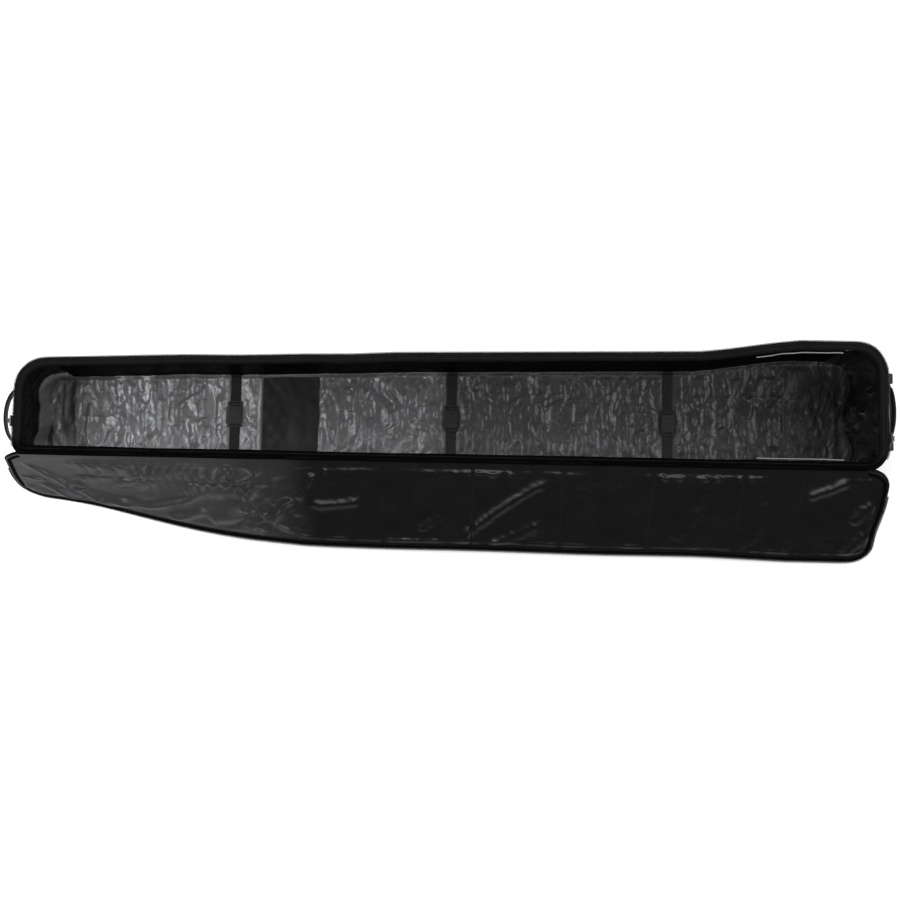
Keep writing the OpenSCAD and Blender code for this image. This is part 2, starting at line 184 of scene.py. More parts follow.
def settle(u, v, seed_height, pinned, slack, pressure, cap, spread):
    """Lets a sheet that is longer than its seams buckle; u, v and seed_height are arrays of one shape.

    The sheet starts in shallow folds and its rest size is larger by slack in u and v.  Returns each
    point's height over what lies under it, at most cap: billows wider than spread are pressed flat.
    """
    rows, columns = seed_height.shape
    index = np.arange(rows * columns).reshape(rows, columns)
    quads = np.stack([index[:-1, :-1], index[1:, :-1], index[1:, 1:], index[:-1, 1:]], -1).reshape(-1, 4)
    start = np.stack([u, v, seed_height], -1)
    rest = np.stack([lengthen(u, slack[0], 0), lengthen(v, slack[1], 1), 0 * u], -1)
    mesh = bpy.data.meshes.new("settling")
    mesh.from_pydata(start.reshape(-1, 3).tolist(), [], quads.tolist())
    sheet = bpy.data.objects.new("settling", mesh)
    bpy.context.scene.collection.objects.link(sheet)
    sheet.shape_key_add(name="Basis")
    key = sheet.shape_key_add(name="rest")
    key.data.foreach_set("co", rest.reshape(-1, 3).astype(np.float32).ravel())
    key.value = 0
    group = sheet.vertex_groups.new(name="seams")
    group.add(np.flatnonzero(pinned.ravel()).tolist(), 1.0, "REPLACE")
    cloth = sheet.modifiers.new("cloth", "CLOTH")
    settings = cloth.settings
    settings.vertex_group_mass = "seams"
    settings.rest_shape_key = key
    settings.quality = 4
    settings.time_scale = 2.0
    settings.mass = 0.1
    settings.tension_stiffness = 40
    settings.compression_stiffness = 40
    settings.shear_stiffness = 10
    settings.bending_stiffness = 2.0
    settings.tension_damping = 0.2
    settings.compression_damping = 0.2
    settings.shear_damping = 0.2
    settings.bending_damping = 0.1
    settings.use_pressure = True
    settings.uniform_pressure_force = pressure
    settings.effector_weights.gravity = 0
    cloth.collision_settings.use_collision = False
    cloth.point_cache.frame_start = 1
    cloth.point_cache.frame_end = SIMULATION_FRAMES
    for step in range(1, SIMULATION_FRAMES + 1):
        bpy.context.scene.frame_set(step)
    settled = sheet.evaluated_get(bpy.context.evaluated_depsgraph_get())
    places = np.empty(rows * columns * 3, np.float32)
    settled.data.vertices.foreach_get("co", places)
    height = places.reshape(rows, columns, 3)[..., 2].astype(float)
    bpy.data.objects.remove(sheet)
    bpy.context.scene.frame_set(1)
    cells = [max(2, int(spread / step)) for step in (abs(u[1, 1] - u[0, 1]), abs(v[1, 1] - v[1, 0]))]
    height = height - local_mean(local_mean(height, cells), cells)
    return cap * np.tanh(height / cap)


def lifted(height, depth):
    """Keeps a sheet on the upper side of what it lies on, turning over the given depth without a crease."""
    return 0.5 * (height + np.sqrt(height ** 2 + depth ** 2))


def refine(a):
    """Doubles the density of an array both ways by cubic interpolation."""
    for axis in (0, 1):
        a = np.moveaxis(refine_rows(np.moveaxis(a, axis, 0)), 0, axis)
    return a


def refine_rows(a):
    """Doubles the density of an array along its first axis by cubic interpolation."""
    before = np.concatenate([a[:1], a[:-2]])
    after = np.concatenate([a[2:], a[-1:]])
    between = (9 * (a[:-1] + a[1:]) - before - after) / 16
    out = np.empty((2 * len(a) - 1, *a.shape[1:]))
    out[0::2] = a
    out[1::2] = between
    return out


# ---------------------------------------------------------------------------------------------
# Mesh building
# ---------------------------------------------------------------------------------------------

def grid(name, points, uv, loop_u=False, loop_v=False, cap=False, flip=False):
    """A mesh over an array of points (rows, columns, 3), with texture coordinates in metres."""
    rows, columns = points.shape[:2]
    index = np.arange(rows * columns).reshape(rows, columns)
    along_u = np.arange(rows if loop_u else rows - 1)
    along_v = np.arange(columns if loop_v else columns - 1)
    iu, iv = np.meshgrid(along_u, along_v, indexing="ij")
    ju, jv = (iu + 1) % rows, (iv + 1) % columns
    quads = np.stack([index[iu, iv], index[ju, iv], index[ju, jv], index[iu, jv]], -1).reshape(-1, 4)
    corner_u = np.stack([iu, iu + 1, iu + 1, iu], -1).reshape(-1, 4)
    corner_v = np.stack([iv, iv, iv + 1, iv + 1], -1).reshape(-1, 4)
    if flip:
        quads, corner_u, corner_v = quads[:, ::-1], corner_u[:, ::-1], corner_v[:, ::-1]
    faces = [list(map(int, q)) for q in quads]
    ends = []
    if cap:
        ends = [list(map(int, index[0, ::-1])), list(map(int, index[-1, :]))]
        if flip:
            ends = [face[::-1] for face in ends]
    mesh = bpy.data.meshes.new(name)
    mesh.from_pydata(points.reshape(-1, 3).tolist(), [], faces + ends)
    u_axis, v_axis = uv
    if loop_u:
        u_axis = np.append(u_axis, 2 * u_axis[-1] - u_axis[-2])
    if loop_v:
        v_axis = np.append(v_axis, 2 * v_axis[-1] - v_axis[-2])
    layer = mesh.uv_layers.new(name="cloth")
    values = np.stack([u_axis[corner_u], v_axis[corner_v]], -1).reshape(-1, 2)
    extra = sum(len(face) for face in ends)
    values = np.concatenate([values, np.zeros((extra, 2))])
    layer.data.foreach_set("uv", values.astype(np.float32).ravel())
    mesh.polygons.foreach_set("use_smooth", [True] * len(mesh.polygons))
    mesh.validate()
    mesh.update()
    piece = bpy.data.objects.new(name, mesh)
    bpy.context.scene.collection.objects.link(piece)
    return piece


def smooth_piece(name, points, faces):
    """A smooth-shaded object from bare points and faces."""
    mesh = bpy.data.meshes.new(name)
    mesh.from_pydata(points.tolist(), [], faces)
    mesh.polygons.foreach_set("use_smooth", [True] * len(mesh.polygons))
    mesh.update()
    piece = bpy.data.objects.new(name, mesh)
    bpy.context.scene.collection.objects.link(piece)
    return piece


def tube_faces(rings, around):
    """Faces between rings of points that follow one another."""
    return [(r * around + p, r * around + (p + 1) % around, (r + 1) * around + (p + 1) % around,
             (r + 1) * around + p) for r in range(rings - 1) for p in range(around)]


def join_meshes(name, pieces):
    """Joins pieces into one object, keeping their texture coordinates."""
    bpy.ops.object.select_all(action="DESELECT")
    for piece in pieces:
        piece.select_set(True)
    bpy.context.view_layer.objects.active = pieces[0]
    if len(pieces) > 1:
        bpy.ops.object.join()
    pieces[0].name = name
    pieces[0].data.name = name
    return pieces[0]


def lengths(points):
    """Running length along a list of points."""
    steps = np.linalg.norm(np.diff(points, axis=0), axis=1)
    return np.concatenate([[0], np.cumsum(steps)])


def resample(points, count, closed=False):
    points = np.asarray(points, float)
    if closed:
        points = np.vstack([points, points[:1]])
    run = lengths(points)
    at = np.linspace(0, run[-1], count, endpoint=not closed)
    return np.stack([np.interp(at, run, points[:, k]) for k in range(points.shape[1])], -1)


def tangents(points, closed=False):
    if closed:
        t = np.roll(points, -1, 0) - np.roll(points, 1, 0)
    else:
        t = np.gradient(points, axis=0)
    return t / np.linalg.norm(t, axis=1)[:, None]


def sweep(name, path, section, up=(0, 0, 1)):
    """Sweeps a closed section, given as (side, up) offsets, along a path, and closes its ends."""
    path = np.asarray(path, float)
    forward = tangents(path)
    up = np.broadcast_to(np.asarray(up, float), path.shape)
    side = np.cross(forward, up)
    side /= np.linalg.norm(side, axis=1)[:, None]
    lift = np.cross(side, forward)
    section = np.asarray(section, float)
    if section.ndim == 2:
        section = np.broadcast_to(section, (len(path), *section.shape))
    points = path[:, None] + side[:, None] * section[..., :1] + lift[:, None] * section[..., 1:]
    run = lengths(path)
    round_run = lengths(np.vstack([section[0], section[0][:1]]))[:-1]
    return grid(name, points, (run, round_run), loop_v=True, cap=True)


def oval(width, height, count=12, square=2.0):
    """A closed section: 2 is an ellipse, higher is squarer."""
    a = np.linspace(0, 2 * math.pi, count, endpoint=False)
    c, s = np.cos(a), np.sin(a)
    return np.stack([np.sign(c) * np.abs(c) ** (2 / square) * width / 2,
                     np.sign(s) * np.abs(s) ** (2 / square) * height / 2], -1)


# ---------------------------------------------------------------------------------------------
# Materials
# ---------------------------------------------------------------------------------------------

# A wave texture of scale 1 repeats every pi / 10 of a metre
WAVE_SCALE = 0.314159


class Shader:
    """A procedural material on the cloth's own coordinates, which are in metres."""

    def __init__(self, name, colour, roughness, **settings):
        self.material = bpy.data.materials.new(name)
        self.material.use_nodes = True
        self.nodes = self.material.node_tree.nodes
        self.links = self.material.node_tree.links
        self.nodes.clear()
        self.output = self.nodes.new("ShaderNodeOutputMaterial")
        self.body = self.nodes.new("ShaderNodeBsdfPrincipled")
        self.links.new(self.body.outputs["BSDF"], self.output.inputs["Surface"])
        self.body.inputs["Base Color"].default_value = (*colour, 1)
        self.body.inputs["Roughness"].default_value = roughness
        for key, value in settings.items():
            self.body.inputs[key.replace("_", " ")].default_value = value
        self.colour = colour
        self.roughness = roughness
        self.heights = []

    def coordinates(self, stretch=(1, 1, 1), turn=0, kind="UV"):
        source = self.nodes.new("ShaderNodeTexCoord")
        mapping = self.nodes.new("ShaderNodeMapping")
        mapping.inputs["Scale"].default_value = stretch
        mapping.inputs["Rotation"].default_value = (0, 0, turn)
        self.links.new(source.outputs[kind], mapping.inputs["Vector"])
        return mapping.outputs["Vector"]

    def noise(self, scale, detail=3, stretch=(1, 1, 1), kind="Object", distortion=0.0):
        node = self.nodes.new("ShaderNodeTexNoise")
        node.inputs["Scale"].default_value = scale
        node.inputs["Detail"].default_value = detail
        node.inputs["Distortion"].default_value = distortion
        self.links.new(self.coordinates(stretch, kind=kind), node.inputs["Vector"])
        return node.outputs["Fac"]

    def waves(self, pitch, turn=0.0, distortion=0.0, kind="UV", profile="SIN"):
        node = self.nodes.new("ShaderNodeTexWave")
        node.wave_type = "BANDS"
        node.bands_direction = "X"
        node.wave_profile = profile
        node.inputs["Scale"].default_value = WAVE_SCALE / pitch
        node.inputs["Distortion"].default_value = distortion
        self.links.new(self.coordinates(turn=turn, kind=kind), node.inputs["Vector"])
        return node.outputs["Fac"]

    def maths(self, kind, a, b):
        node = self.nodes.new("ShaderNodeMath")
        node.operation = kind
        for socket, value in zip(node.inputs, (a, b)):
            if isinstance(value, (int, float)):
                socket.default_value = value
            else:
                self.links.new(value, socket)
        return node.outputs[0]

    def span(self, value, low, high, out_low, out_high):
        node = self.nodes.new("ShaderNodeMapRange")
        limits = {"From Min": low, "From Max": high, "To Min": out_low, "To Max": out_high}
        for socket, setting in limits.items():
            node.inputs[socket].default_value = setting
        self.links.new(value, node.inputs["Value"])
        return node.outputs["Result"]

    def tint(self, factor, other):
        """Mixes the base colour towards another by a factor."""
        node = self.nodes.new("ShaderNodeMix")
        node.data_type = "RGBA"
        socket = self.body.inputs["Base Color"]
        if socket.is_linked:
            self.links.new(socket.links[0].from_socket, node.inputs[6])
        else:
            node.inputs[6].default_value = socket.default_value
        node.inputs[7].default_value = (*other, 1)
        self.links.new(factor, node.inputs[0])
        self.links.new(node.outputs[2], socket)

    def vary_roughness(self, value, low, high):
        self.links.new(self.span(value, 0, 1, low, high), self.body.inputs["Roughness"])

    def bump(self, height, strength, distance):
        node = self.nodes.new("ShaderNodeBump")
        node.inputs["Strength"].default_value = strength
        node.inputs["Distance"].default_value = distance
        self.links.new(height, node.inputs["Height"])
        socket = self.body.inputs["Normal"]
        if socket.is_linked:
            self.links.new(socket.links[0].from_socket, node.inputs["Normal"])
        self.links.new(node.outputs["Normal"], socket)

    def weave(self, pitch, strength, distance=0.0002):
        """Over and under threads in both directions."""
        across = self.waves(pitch)
        along = self.waves(pitch, turn=math.pi / 2)
        self.bump(self.maths("MULTIPLY", across, along), strength, distance)


def make_materials():
    made = {}

    outer = Shader("outer_fabric", (0.0034, 0.0035, 0.0039), 0.62, Specular_IOR_Level=0.16, Sheen_Weight=0.02,
                   Sheen_Roughness=0.5)
    outer.tint(outer.span(outer.noise(9, 4), 0.35, 0.75, 0, 0.55), (0.0055, 0.0056, 0.0062))
    outer.vary_roughness(outer.noise(40, 3), 0.52, 0.72)
    outer.bump(outer.noise(160, 3), 0.15, 0.0008)
    outer.weave(0.0011, 0.35)
    made["outer"] = outer.material

    base = Shader("base_tarpaulin", (0.0045, 0.0045, 0.005), 0.45, Specular_IOR_Level=0.3, Coat_Weight=0.1,
                  Coat_Roughness=0.4)
    base.tint(base.span(base.noise(14, 5), 0.5, 0.8, 0, 0.5), (0.02, 0.02, 0.02))
    base.vary_roughness(base.noise(30, 4), 0.38, 0.62)
    base.weave(0.0018, 0.3, 0.0003)
    made["base"] = base.material

    # The black lining of the walls, its colour and specular pushed far below the cloth's own: partly its real
    # black, partly painted shade of the inner walls.
    black = Shader("black_lining", (0.0008, 0.0008, 0.0009), 0.50, Specular_IOR_Level=0.005)
    black.tint(black.span(black.noise(12, 4), 0.4, 0.8, 0, 0.5), (0.0016, 0.0016, 0.0018))
    black.vary_roughness(black.noise(30, 4), 0.34, 0.52)
    black.bump(black.noise(70, 4, distortion=0.6), 0.22, 0.0012)
    black.weave(0.0008, 0.10)
    made["black"] = black.material

    boot = Shader("boot_lining", (0.0012, 0.0012, 0.0014), 0.20, IOR=1.6, Specular_IOR_Level=1.0)
    boot.tint(boot.span(boot.noise(12, 4), 0.4, 0.8, 0, 0.5), (0.0030, 0.0030, 0.0033))
    boot.vary_roughness(boot.noise(30, 4), 0.12, 0.24)
    boot.bump(boot.noise(60, 4, distortion=0.8), 0.45, 0.0022)
    boot.weave(0.0008, 0.10)
    made["boot"] = boot.material

    grey = Shader("grey_lining", (0.140, 0.141, 0.145), 0.38, Metallic=0.40, Specular_IOR_Level=0.10)
    grey.tint(grey.span(grey.noise(7, 4), 0.35, 0.7, 0, 0.5), (0.095, 0.096, 0.098))
    along = grey.nodes.new("ShaderNodeSeparateXYZ")
    grey.links.new(grey.coordinates(kind="Object"), along.inputs[0])
    grey.tint(grey.span(along.outputs[0], -0.42, -0.30, 0, 0.45), (0.040, 0.040, 0.042))
    grey.tint(grey.span(along.outputs[0], -0.06, 0.02, 0, 0.60), (0.014, 0.014, 0.015))
    grey.tint(grey.span(along.outputs[0], 0.35, 0.85, 0, 0.60), (0.008, 0.008, 0.009))
    # Painted shade, partly: above 9 cm the grey lining up the nose wall turns to the walls' near-black,
    # deepened to stand in for the shade on the upper inner wall.
    grey.tint(grey.span(along.outputs[2], 0.088, 0.096, 0, 0.99), (0.0008, 0.0008, 0.0009))
    grey.vary_roughness(grey.noise(25, 4), 0.30, 0.48)
    grey.bump(grey.noise(55, 5, distortion=1.2), 0.40, 0.0025)
    grey.bump(grey.noise(180, 4, distortion=0.8), 0.25, 0.001)
    grey.weave(0.0007, 0.10)
    made["grey"] = grey.material

    lid = Shader("lid_lining", (0.0018, 0.0018, 0.0020), 0.24, Specular_IOR_Level=0.11)
    place = lid.nodes.new("ShaderNodeSeparateXYZ")
    lid.links.new(lid.coordinates(kind="UV"), place.inputs[0])
    drift = lid.span(lid.noise(9, 3), 0, 1, -0.08, 0.08)
    where = lid.maths("ADD", place.outputs[0], drift)
    lid.tint(lid.span(lid.noise(14, 4), 0.4, 0.8, 0, 0.5), (0.0028, 0.0028, 0.0031))
    matt = lid.span(where, 0.46, 0.72, 1, 0)
    lid.tint(matt, (0.0270, 0.0270, 0.0284))
    lid.links.new(lid.span(matt, 0, 1, 0, 0.5), lid.body.inputs["Metallic"])
    rough = lid.maths("ADD", lid.span(matt, 0, 1, 0.22, 0.40), lid.span(lid.noise(22, 4), 0, 1, -0.06, 0.08))
    lid.links.new(rough, lid.body.inputs["Roughness"])
    lid.bump(lid.noise(26, 4, distortion=1.0), 0.12, 0.0022)
    lid.bump(lid.noise(120, 4, distortion=0.5), 0.15, 0.0007)
    lid.weave(0.0008, 0.10)
    made["lid"] = lid.material

    tape = Shader("zip_tape", (0.0042, 0.0042, 0.0046), 0.75, Specular_IOR_Level=0.01, Sheen_Weight=0.002,
                  Sheen_Roughness=0.5)
    tape.tint(tape.span(tape.noise(30, 4), 0.4, 0.8, 0, 0.6), (0.0062, 0.0062, 0.0066))
    side = tape.nodes.new("ShaderNodeSeparateXYZ")
    tape.links.new(tape.coordinates(kind="Object"), side.inputs[0])
    # Painted shade: wherever the tape lies in front of y -0.1, along the hinge and on the lid, it is darkened
    # almost to black for the shade under the lid's fold.
    tape.tint(tape.span(side.outputs[1], -0.115, -0.095, 0.97, 0), (0.0006, 0.0006, 0.0007))
    tape.weave(0.0012, 0.5, 0.0003)
    made["tape"] = tape.material

    binding = Shader("binding", (0.0018, 0.0018, 0.0020), 0.6, Specular_IOR_Level=0.02, Sheen_Weight=0.002,
                     Sheen_Roughness=0.4)
    binding.tint(binding.span(binding.noise(25, 4), 0.4, 0.8, 0, 0.6), (0.0030, 0.0030, 0.0033))
    binding.bump(binding.waves(0.0012), 0.5, 0.0003)
    made["binding"] = binding.material

    webbing = Shader("webbing", (0.0030, 0.0030, 0.0033), 0.55, Specular_IOR_Level=0.16, Sheen_Weight=0.02,
                     Sheen_Roughness=0.4)
    webbing.tint(webbing.span(webbing.noise(35, 4), 0.4, 0.8, 0, 0.6), (0.0055, 0.0055, 0.0058))
    webbing.weave(0.0021, 0.7, 0.0005)
    made["webbing"] = webbing.material

    label = Shader("label_panel", (0.0040, 0.0040, 0.0044), 0.5, Specular_IOR_Level=0.2)
    label.tint(label.span(label.noise(10, 4), 0.4, 0.8, 0, 0.5), (0.0062, 0.0062, 0.0066))
    label.bump(label.noise(30, 3), 0.25, 0.002)
    label.weave(0.0006, 0.15)
    made["label"] = label.material

    thread = Shader("thread", (0.012, 0.012, 0.013), 0.6, Specular_IOR_Level=0.2, Sheen_Weight=0.1)
    thread.bump(thread.waves(0.0004, kind="Object"), 0.3, 0.0001)
    made["thread"] = thread.material

    teeth = Shader("zip_coil", (0.0045, 0.0045, 0.005), 0.35, Specular_IOR_Level=0.35)
    teeth.vary_roughness(teeth.noise(60, 2), 0.28, 0.46)
    made["teeth"] = teeth.material

    plastic = Shader("buckle_plastic", (0.0045, 0.0045, 0.005), 0.38, Specular_IOR_Level=0.4)
    plastic.vary_roughness(plastic.noise(80, 4), 0.3, 0.48)
    plastic.bump(plastic.noise(900, 2), 0.12, 0.0002)
    made["plastic"] = plastic.material

    metal = Shader("dark_nickel", (0.10, 0.10, 0.105), 0.32, Metallic=1.0)
    metal.vary_roughness(metal.noise(120, 4), 0.24, 0.45)
    metal.bump(metal.noise(500, 3), 0.08, 0.0002)
    made["metal"] = metal.material

    rubber = Shader("pull_rubber", (0.006, 0.006, 0.0065), 0.6, Specular_IOR_Level=0.25)
    rubber.vary_roughness(rubber.noise(90, 3), 0.52, 0.7)
    rubber.bump(rubber.noise(700, 2), 0.15, 0.0002)
    made["rubber"] = rubber.material

    gloss = Shader("gloss_edging", (0.17, 0.175, 0.18), 0.18, Coat_Weight=0.5, Coat_Roughness=0.08)
    gloss.vary_roughness(gloss.noise(60, 3), 0.12, 0.3)
    gloss.bump(gloss.noise(90, 3), 0.2, 0.0008)
    made["gloss"] = gloss.material

    floor = Shader("studio_floor", (0.86, 0.86, 0.86), 0.9, Specular_IOR_Level=0.2)
    floor.tint(floor.span(floor.noise(1.5, 2), 0.3, 0.8, 0, 0.3), (0.84, 0.84, 0.845))
    made["floor"] = floor.material
    return made


MATERIALS = make_materials()


def dress(piece, material, body=None, replaces=()):
    """Gives a piece its material and finish, the body it rides on and the CAD nodes it stands for."""
    piece.data.materials.clear()
    piece.data.materials.append(MATERIALS[material])
    if body:
        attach(piece, body)
    if replaces:
        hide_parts(*replaces)
    return piece


# ---------------------------------------------------------------------------------------------
# Tub
# ---------------------------------------------------------------------------------------------

def tub_outline():
    """The plan outline of the tub, from the CAD base panel, anticlockwise from the front."""
    corners = np.array([v.co for v in frame["nodes"]["base_panel"].data.vertices], float)
    low = corners[corners[:, 2] < corners[:, 2].min() + 1e-5][:, :2]
    low = np.unique(np.round(low, 6), axis=0)
    centre = (low.min(0) + low.max(0)) / 2
    return low[np.argsort(np.arctan2(low[:, 1] - centre[1], low[:, 0] - centre[0]))]


OUTLINE = tub_outline()


def flare(x, y):
    """How far the slack back wall stands out from its straight panels."""
    back = smooth(y, 0.07, 0.12)
    boot = smooth(x, 0.64, 0.80) * (1 - smooth(x, 1.02, 1.05))
    shoulder = smooth(x, -0.66, -0.50) * (1 - smooth(x, -0.26, -0.12))
    return back * (0.0045 * boot - 0.0035 * shoulder)


def ring_path(count, inset=0.0):
    """Points round the tub, drawn in by inset, with their outward normals and running length."""
    base = resample(OUTLINE, count, closed=True)
    for _ in range(3):
        base = 0.5 * base + 0.25 * (np.roll(base, 1, 0) + np.roll(base, -1, 0))
    base[:, 1] += flare(base[:, 0], base[:, 1])
    forward = tangents(base, closed=True)
    normal = np.stack([forward[:, 1], -forward[:, 0]], -1)
    return base - normal * inset, normal, lengths(np.vstack([base, base[:1]]))[:-1]


def tub_ring(name, section, count=760, shift=None):
    """Sweeps (inset, height) pairs round the tub; shift returns how far each moves out and up."""
    base, normal, run = ring_path(count)
    section = np.asarray(section, float)
    inset = np.broadcast_to(section[None, :, 0], (count, len(section))).copy()
    height = np.broadcast_to(section[None, :, 1], (count, len(section))).copy()
    if shift:
        out, up = shift(run[:, None], section[None, :, 0], section[None, :, 1])
        inset = inset - out
        height = height + up
    points = np.concatenate([base[:, None] - normal[:, None] * inset[..., None], height[..., None]], -1)
    closed_section = lengths(np.vstack([section, section[:1]]))[:-1]
    return grid(name, points, (run, closed_section), loop_u=True, loop_v=True, flip=True)


def corner_seams():
    """Where the end walls join the long walls, along X."""
    return edge("nose_wall", 1, 0), edge("boot_wall", 0, 0)


def seam_groove(x, width=0.004):
    groove = 0
    for seam in corner_seams():
        groove = groove + np.exp(-((x - seam) / width) ** 2)
    return groove


def make_outer_walls():
    """One loft of padded fabric over all four walls, bulging a little and puckered at its seams."""
    low, high = edge("front_wall", 0, 2), edge("front_wall", 1, 2)
    rows, columns = 561, 21
    base, normal, run = ring_path(rows - 1)
    seams = corner_seams()
    first = int(np.argmin(np.hypot(base[:, 0] - seams[0], base[:, 1] - FRONT_Y)))
    order = np.append((np.arange(rows - 1) + first) % (rows - 1), first)
    base, normal = base[order], normal[order]
    run = lengths(base)
    share = np.linspace(0, 1, columns)
    u = np.broadcast_to(run[:, None], (rows, columns))
    v = np.broadcast_to(low + (high - low) * share, (rows, columns))
    belly = np.sin(math.pi * share)[None, :] ** 0.7
    seed = belly * (0.0016 + 0.0022 * noise(u * 9, v * 8, 11) + 0.0016 * noise(u * 24 + 9 * v, v * 12, 12))
    seed = seed - 0.0016 * belly * ridge(u * 15 + 4 * v, v * 13, 13) ** 4
    pinned = np.zeros(u.shape, bool)
    pinned[[0, -1]] = True
    pinned[:, [0, -1]] = True
    stitched = np.zeros(rows, bool)
    for seam in seams:
        crossing = np.flatnonzero(np.diff(np.sign(base[:, 0] - seam)))
        stitched[crossing] = True
    pinned[stitched] = True
    seed = np.where(pinned, 0, seed)
    height = settle(u, v, seed, pinned, (0.012, 0.012), 1.2, 0.0048, 0.12)
    height, u, v = refine(height), refine(u), refine(v)
    base, normal = refine_rows(base), refine_rows(normal)
    fading = np.sin(math.pi * np.linspace(0, 1, u.shape[1])) ** 0.4
    grooves = 0.0022 * seam_groove(base[:, 0][:, None]) * fading
    out = height - grooves
    skin = np.concatenate([base[:, None] + normal[:, None] * out[..., None], v[..., None]], -1)
    inner = []
    for inset, level in ((0.006, high + 0.0002), (WALL - 0.003, high - 0.001), (WALL - 0.002, low + 0.12),
                         (WALL - 0.004, low + 0.001)):
        ring = base - normal * inset
        inner.append(np.column_stack([ring, np.full(len(ring), level)]))
    points = np.concatenate([skin, np.stack(inner, 1)], 1)[:-1]
    section = lengths(np.vstack([points[0], points[0][:1]]))[:-1]
    walls = grid("outer_walls", points, (u[:-1, 0], section), loop_u=True, loop_v=True, flip=True)
    dress(walls, "outer", "tub",
          ("front_wall", "back_wall_nose", "back_wall_mid", "back_wall_boot", "back_wall_heel", "nose_wall",
           "boot_wall"))
    rows = []
    for seam in seams:
        for side in (-1, 1):
            crossing = np.flatnonzero(np.diff(np.sign(base[:, 0] - seam - side * 0.006)))
            for k in crossing:
                line = skin[k, 2:-2] + np.append(normal[k], 0) * 0.0003
                rows.append(line)
    stitches("wall_stitching", rows, "tub")


def make_base():
    """The tarpaulin base: flat where it lies, with raised channels and a rounded edge."""
    thick = edge("base_panel", 1, 2)
    count_x, count_y = 420, 64
    xs = -HALF * np.cos(np.linspace(0, math.pi, count_x)) * 0.9999
    front, back = tub_span(xs, 0.0)
    v = np.linspace(0, 1, count_y)
    y = front[:, None] + (back - front)[:, None] * v
    rise = 0.0012 * smooth(np.cos((v * 5) * 2 * math.pi), 0.2, 0.9)
    edge_rise = 0.002 * (1 - smooth(np.minimum(v, 1 - v), 0, 0.02))
    under = np.stack([np.broadcast_to(xs[:, None], y.shape), y, (rise + edge_rise)[None] + 0 * y], -1)
    top = np.stack([np.broadcast_to(xs[:, None], y.shape), y, thick + 0 * y], -1)
    loop = np.concatenate([under, top[:, ::-1]], 1)
    run_v = lengths(np.concatenate([under[count_x // 2], top[count_x // 2][::-1]]))
    base = grid("base_sheet", loop, (xs, run_v), loop_v=True, cap=True)
    dress(base, "base", "tub", ("base_panel",))


def tub_span(xs, inset):
    """Front and back Y of the tub's outline at each X, drawn in by inset."""
    base, _, _ = ring_path(2400, inset)
    middle = (base[:, 1].min() + base[:, 1].max()) / 2
    lower, upper = base[base[:, 1] < middle], base[base[:, 1] >= middle]
    lower, upper = lower[np.argsort(lower[:, 0])], upper[np.argsort(upper[:, 0])]
    xs = np.clip(xs, base[:, 0].min(), base[:, 0].max())
    return np.interp(xs, lower[:, 0], lower[:, 1]), np.interp(xs, upper[:, 0], upper[:, 1])


def make_floor_lining():
    """The silvery sheet on the floor, crumpled in many folds and smooth under the dark panel."""
    rows, columns = 431, 49
    reach = HALF - LINED_WALL - 0.0005
    xs = np.linspace(-reach, reach, rows)
    front, back = tub_span(xs, LINED_WALL + 0.0004)
    share = np.linspace(0, 1, columns)
    y = front[:, None] + (back - front)[:, None] * share
    x = np.broadcast_to(xs[:, None], y.shape)
    label_x = [edge("label_panel", k, 0) for k in (0, 1)]
    calm = smooth(x, label_x[0] - 0.014, label_x[0] - 0.002) * (1 - smooth(x, label_x[1], label_x[1] + 0.01))
    nose = 1 - smooth(x, -0.62, -0.52)
    middle = smooth(x, -0.34, -0.30) * (1 - smooth(x, -0.02, 0.04))
    folds = 1.1 * noise(x * 27 + 1.1 * noise(x * 5, y * 7, 21), y * 5.5, 22) + 0.5 * noise(x * 58, y * 15, 23)
    slanted = noise((x + 0.7 * y) * 20, (y - 0.7 * x) * 9, 24)
    slanted = slanted + 0.8 * noise((x - 0.9 * y) * 26, (y + x) * 10, 25)
    seed = 0.0066 * folds * (1 - 0.6 * middle) + 0.0044 * slanted * (0.35 + 0.8 * middle)
    seed = seed * (0.72 + 0.40 * nose) + 0.0016 * noise(x * 95, y * 40, 26)
    seed = seed * (1 - 0.93 * calm)
    near_wall = np.minimum(np.minimum(y - front[:, None], back[:, None] - y), reach - np.abs(x))
    seed = seed * smooth(near_wall, -0.004, 0.012)
    pinned = np.zeros(x.shape, bool)
    pinned[[0, -1]] = True
    pinned[:, [0, -1]] = True
    strap = np.zeros_like(x)
    for node in ("strap_front_nose", "strap_front_mid", "strap_front_boot"):
        centre = (edge(node, 0, 0) + edge(node, 1, 0)) / 2
        strap = np.maximum(strap, np.exp(-((x - centre) / 0.023) ** 4))
    seed = seed * (1 - 0.8 * strap)
    # Glued to the board in spots
    for turn, row in enumerate(range(8, rows, 11)):
        pinned[row, 6 + 5 * (turn % 2)::11] = True
    height = settle(x, y, np.where(pinned, 0.4 * seed, seed), pinned, (0.13, 0.05), 0.0, 0.0085, 0.030)
    free = (1 - 0.95 * strap) * (1 - 0.96 * calm)
    height, x, y = refine(height), refine(x), refine(y)
    near_wall = refine(near_wall)
    cove = 0.010 * (1 - smooth(near_wall, 0, 0.014)) ** 2
    crinkle = ridge(x * 62 + 3 * noise(x * 12, y * 14, 28), y * 24, 29) ** 2 - 0.3
    fine = 0.0019 * crinkle + 0.0008 * noise(x * 150, y * 90, 27)
    z = FLOOR_Z + 0.0006 + lifted(0.0045 + 1.25 * (height + fine), 0.002) * refine(free) + cove
    lining = grid("floor_sheet", np.stack([x, y, z], -1), (x[:, 0] + reach, np.linspace(0, 0.24, x.shape[1])))
    solid = lining.modifiers.new("thickness", "SOLIDIFY")
    solid.thickness = 0.0006
    solid.offset = -1
    dress(lining, "grey", "tub", ("floor_lining",))


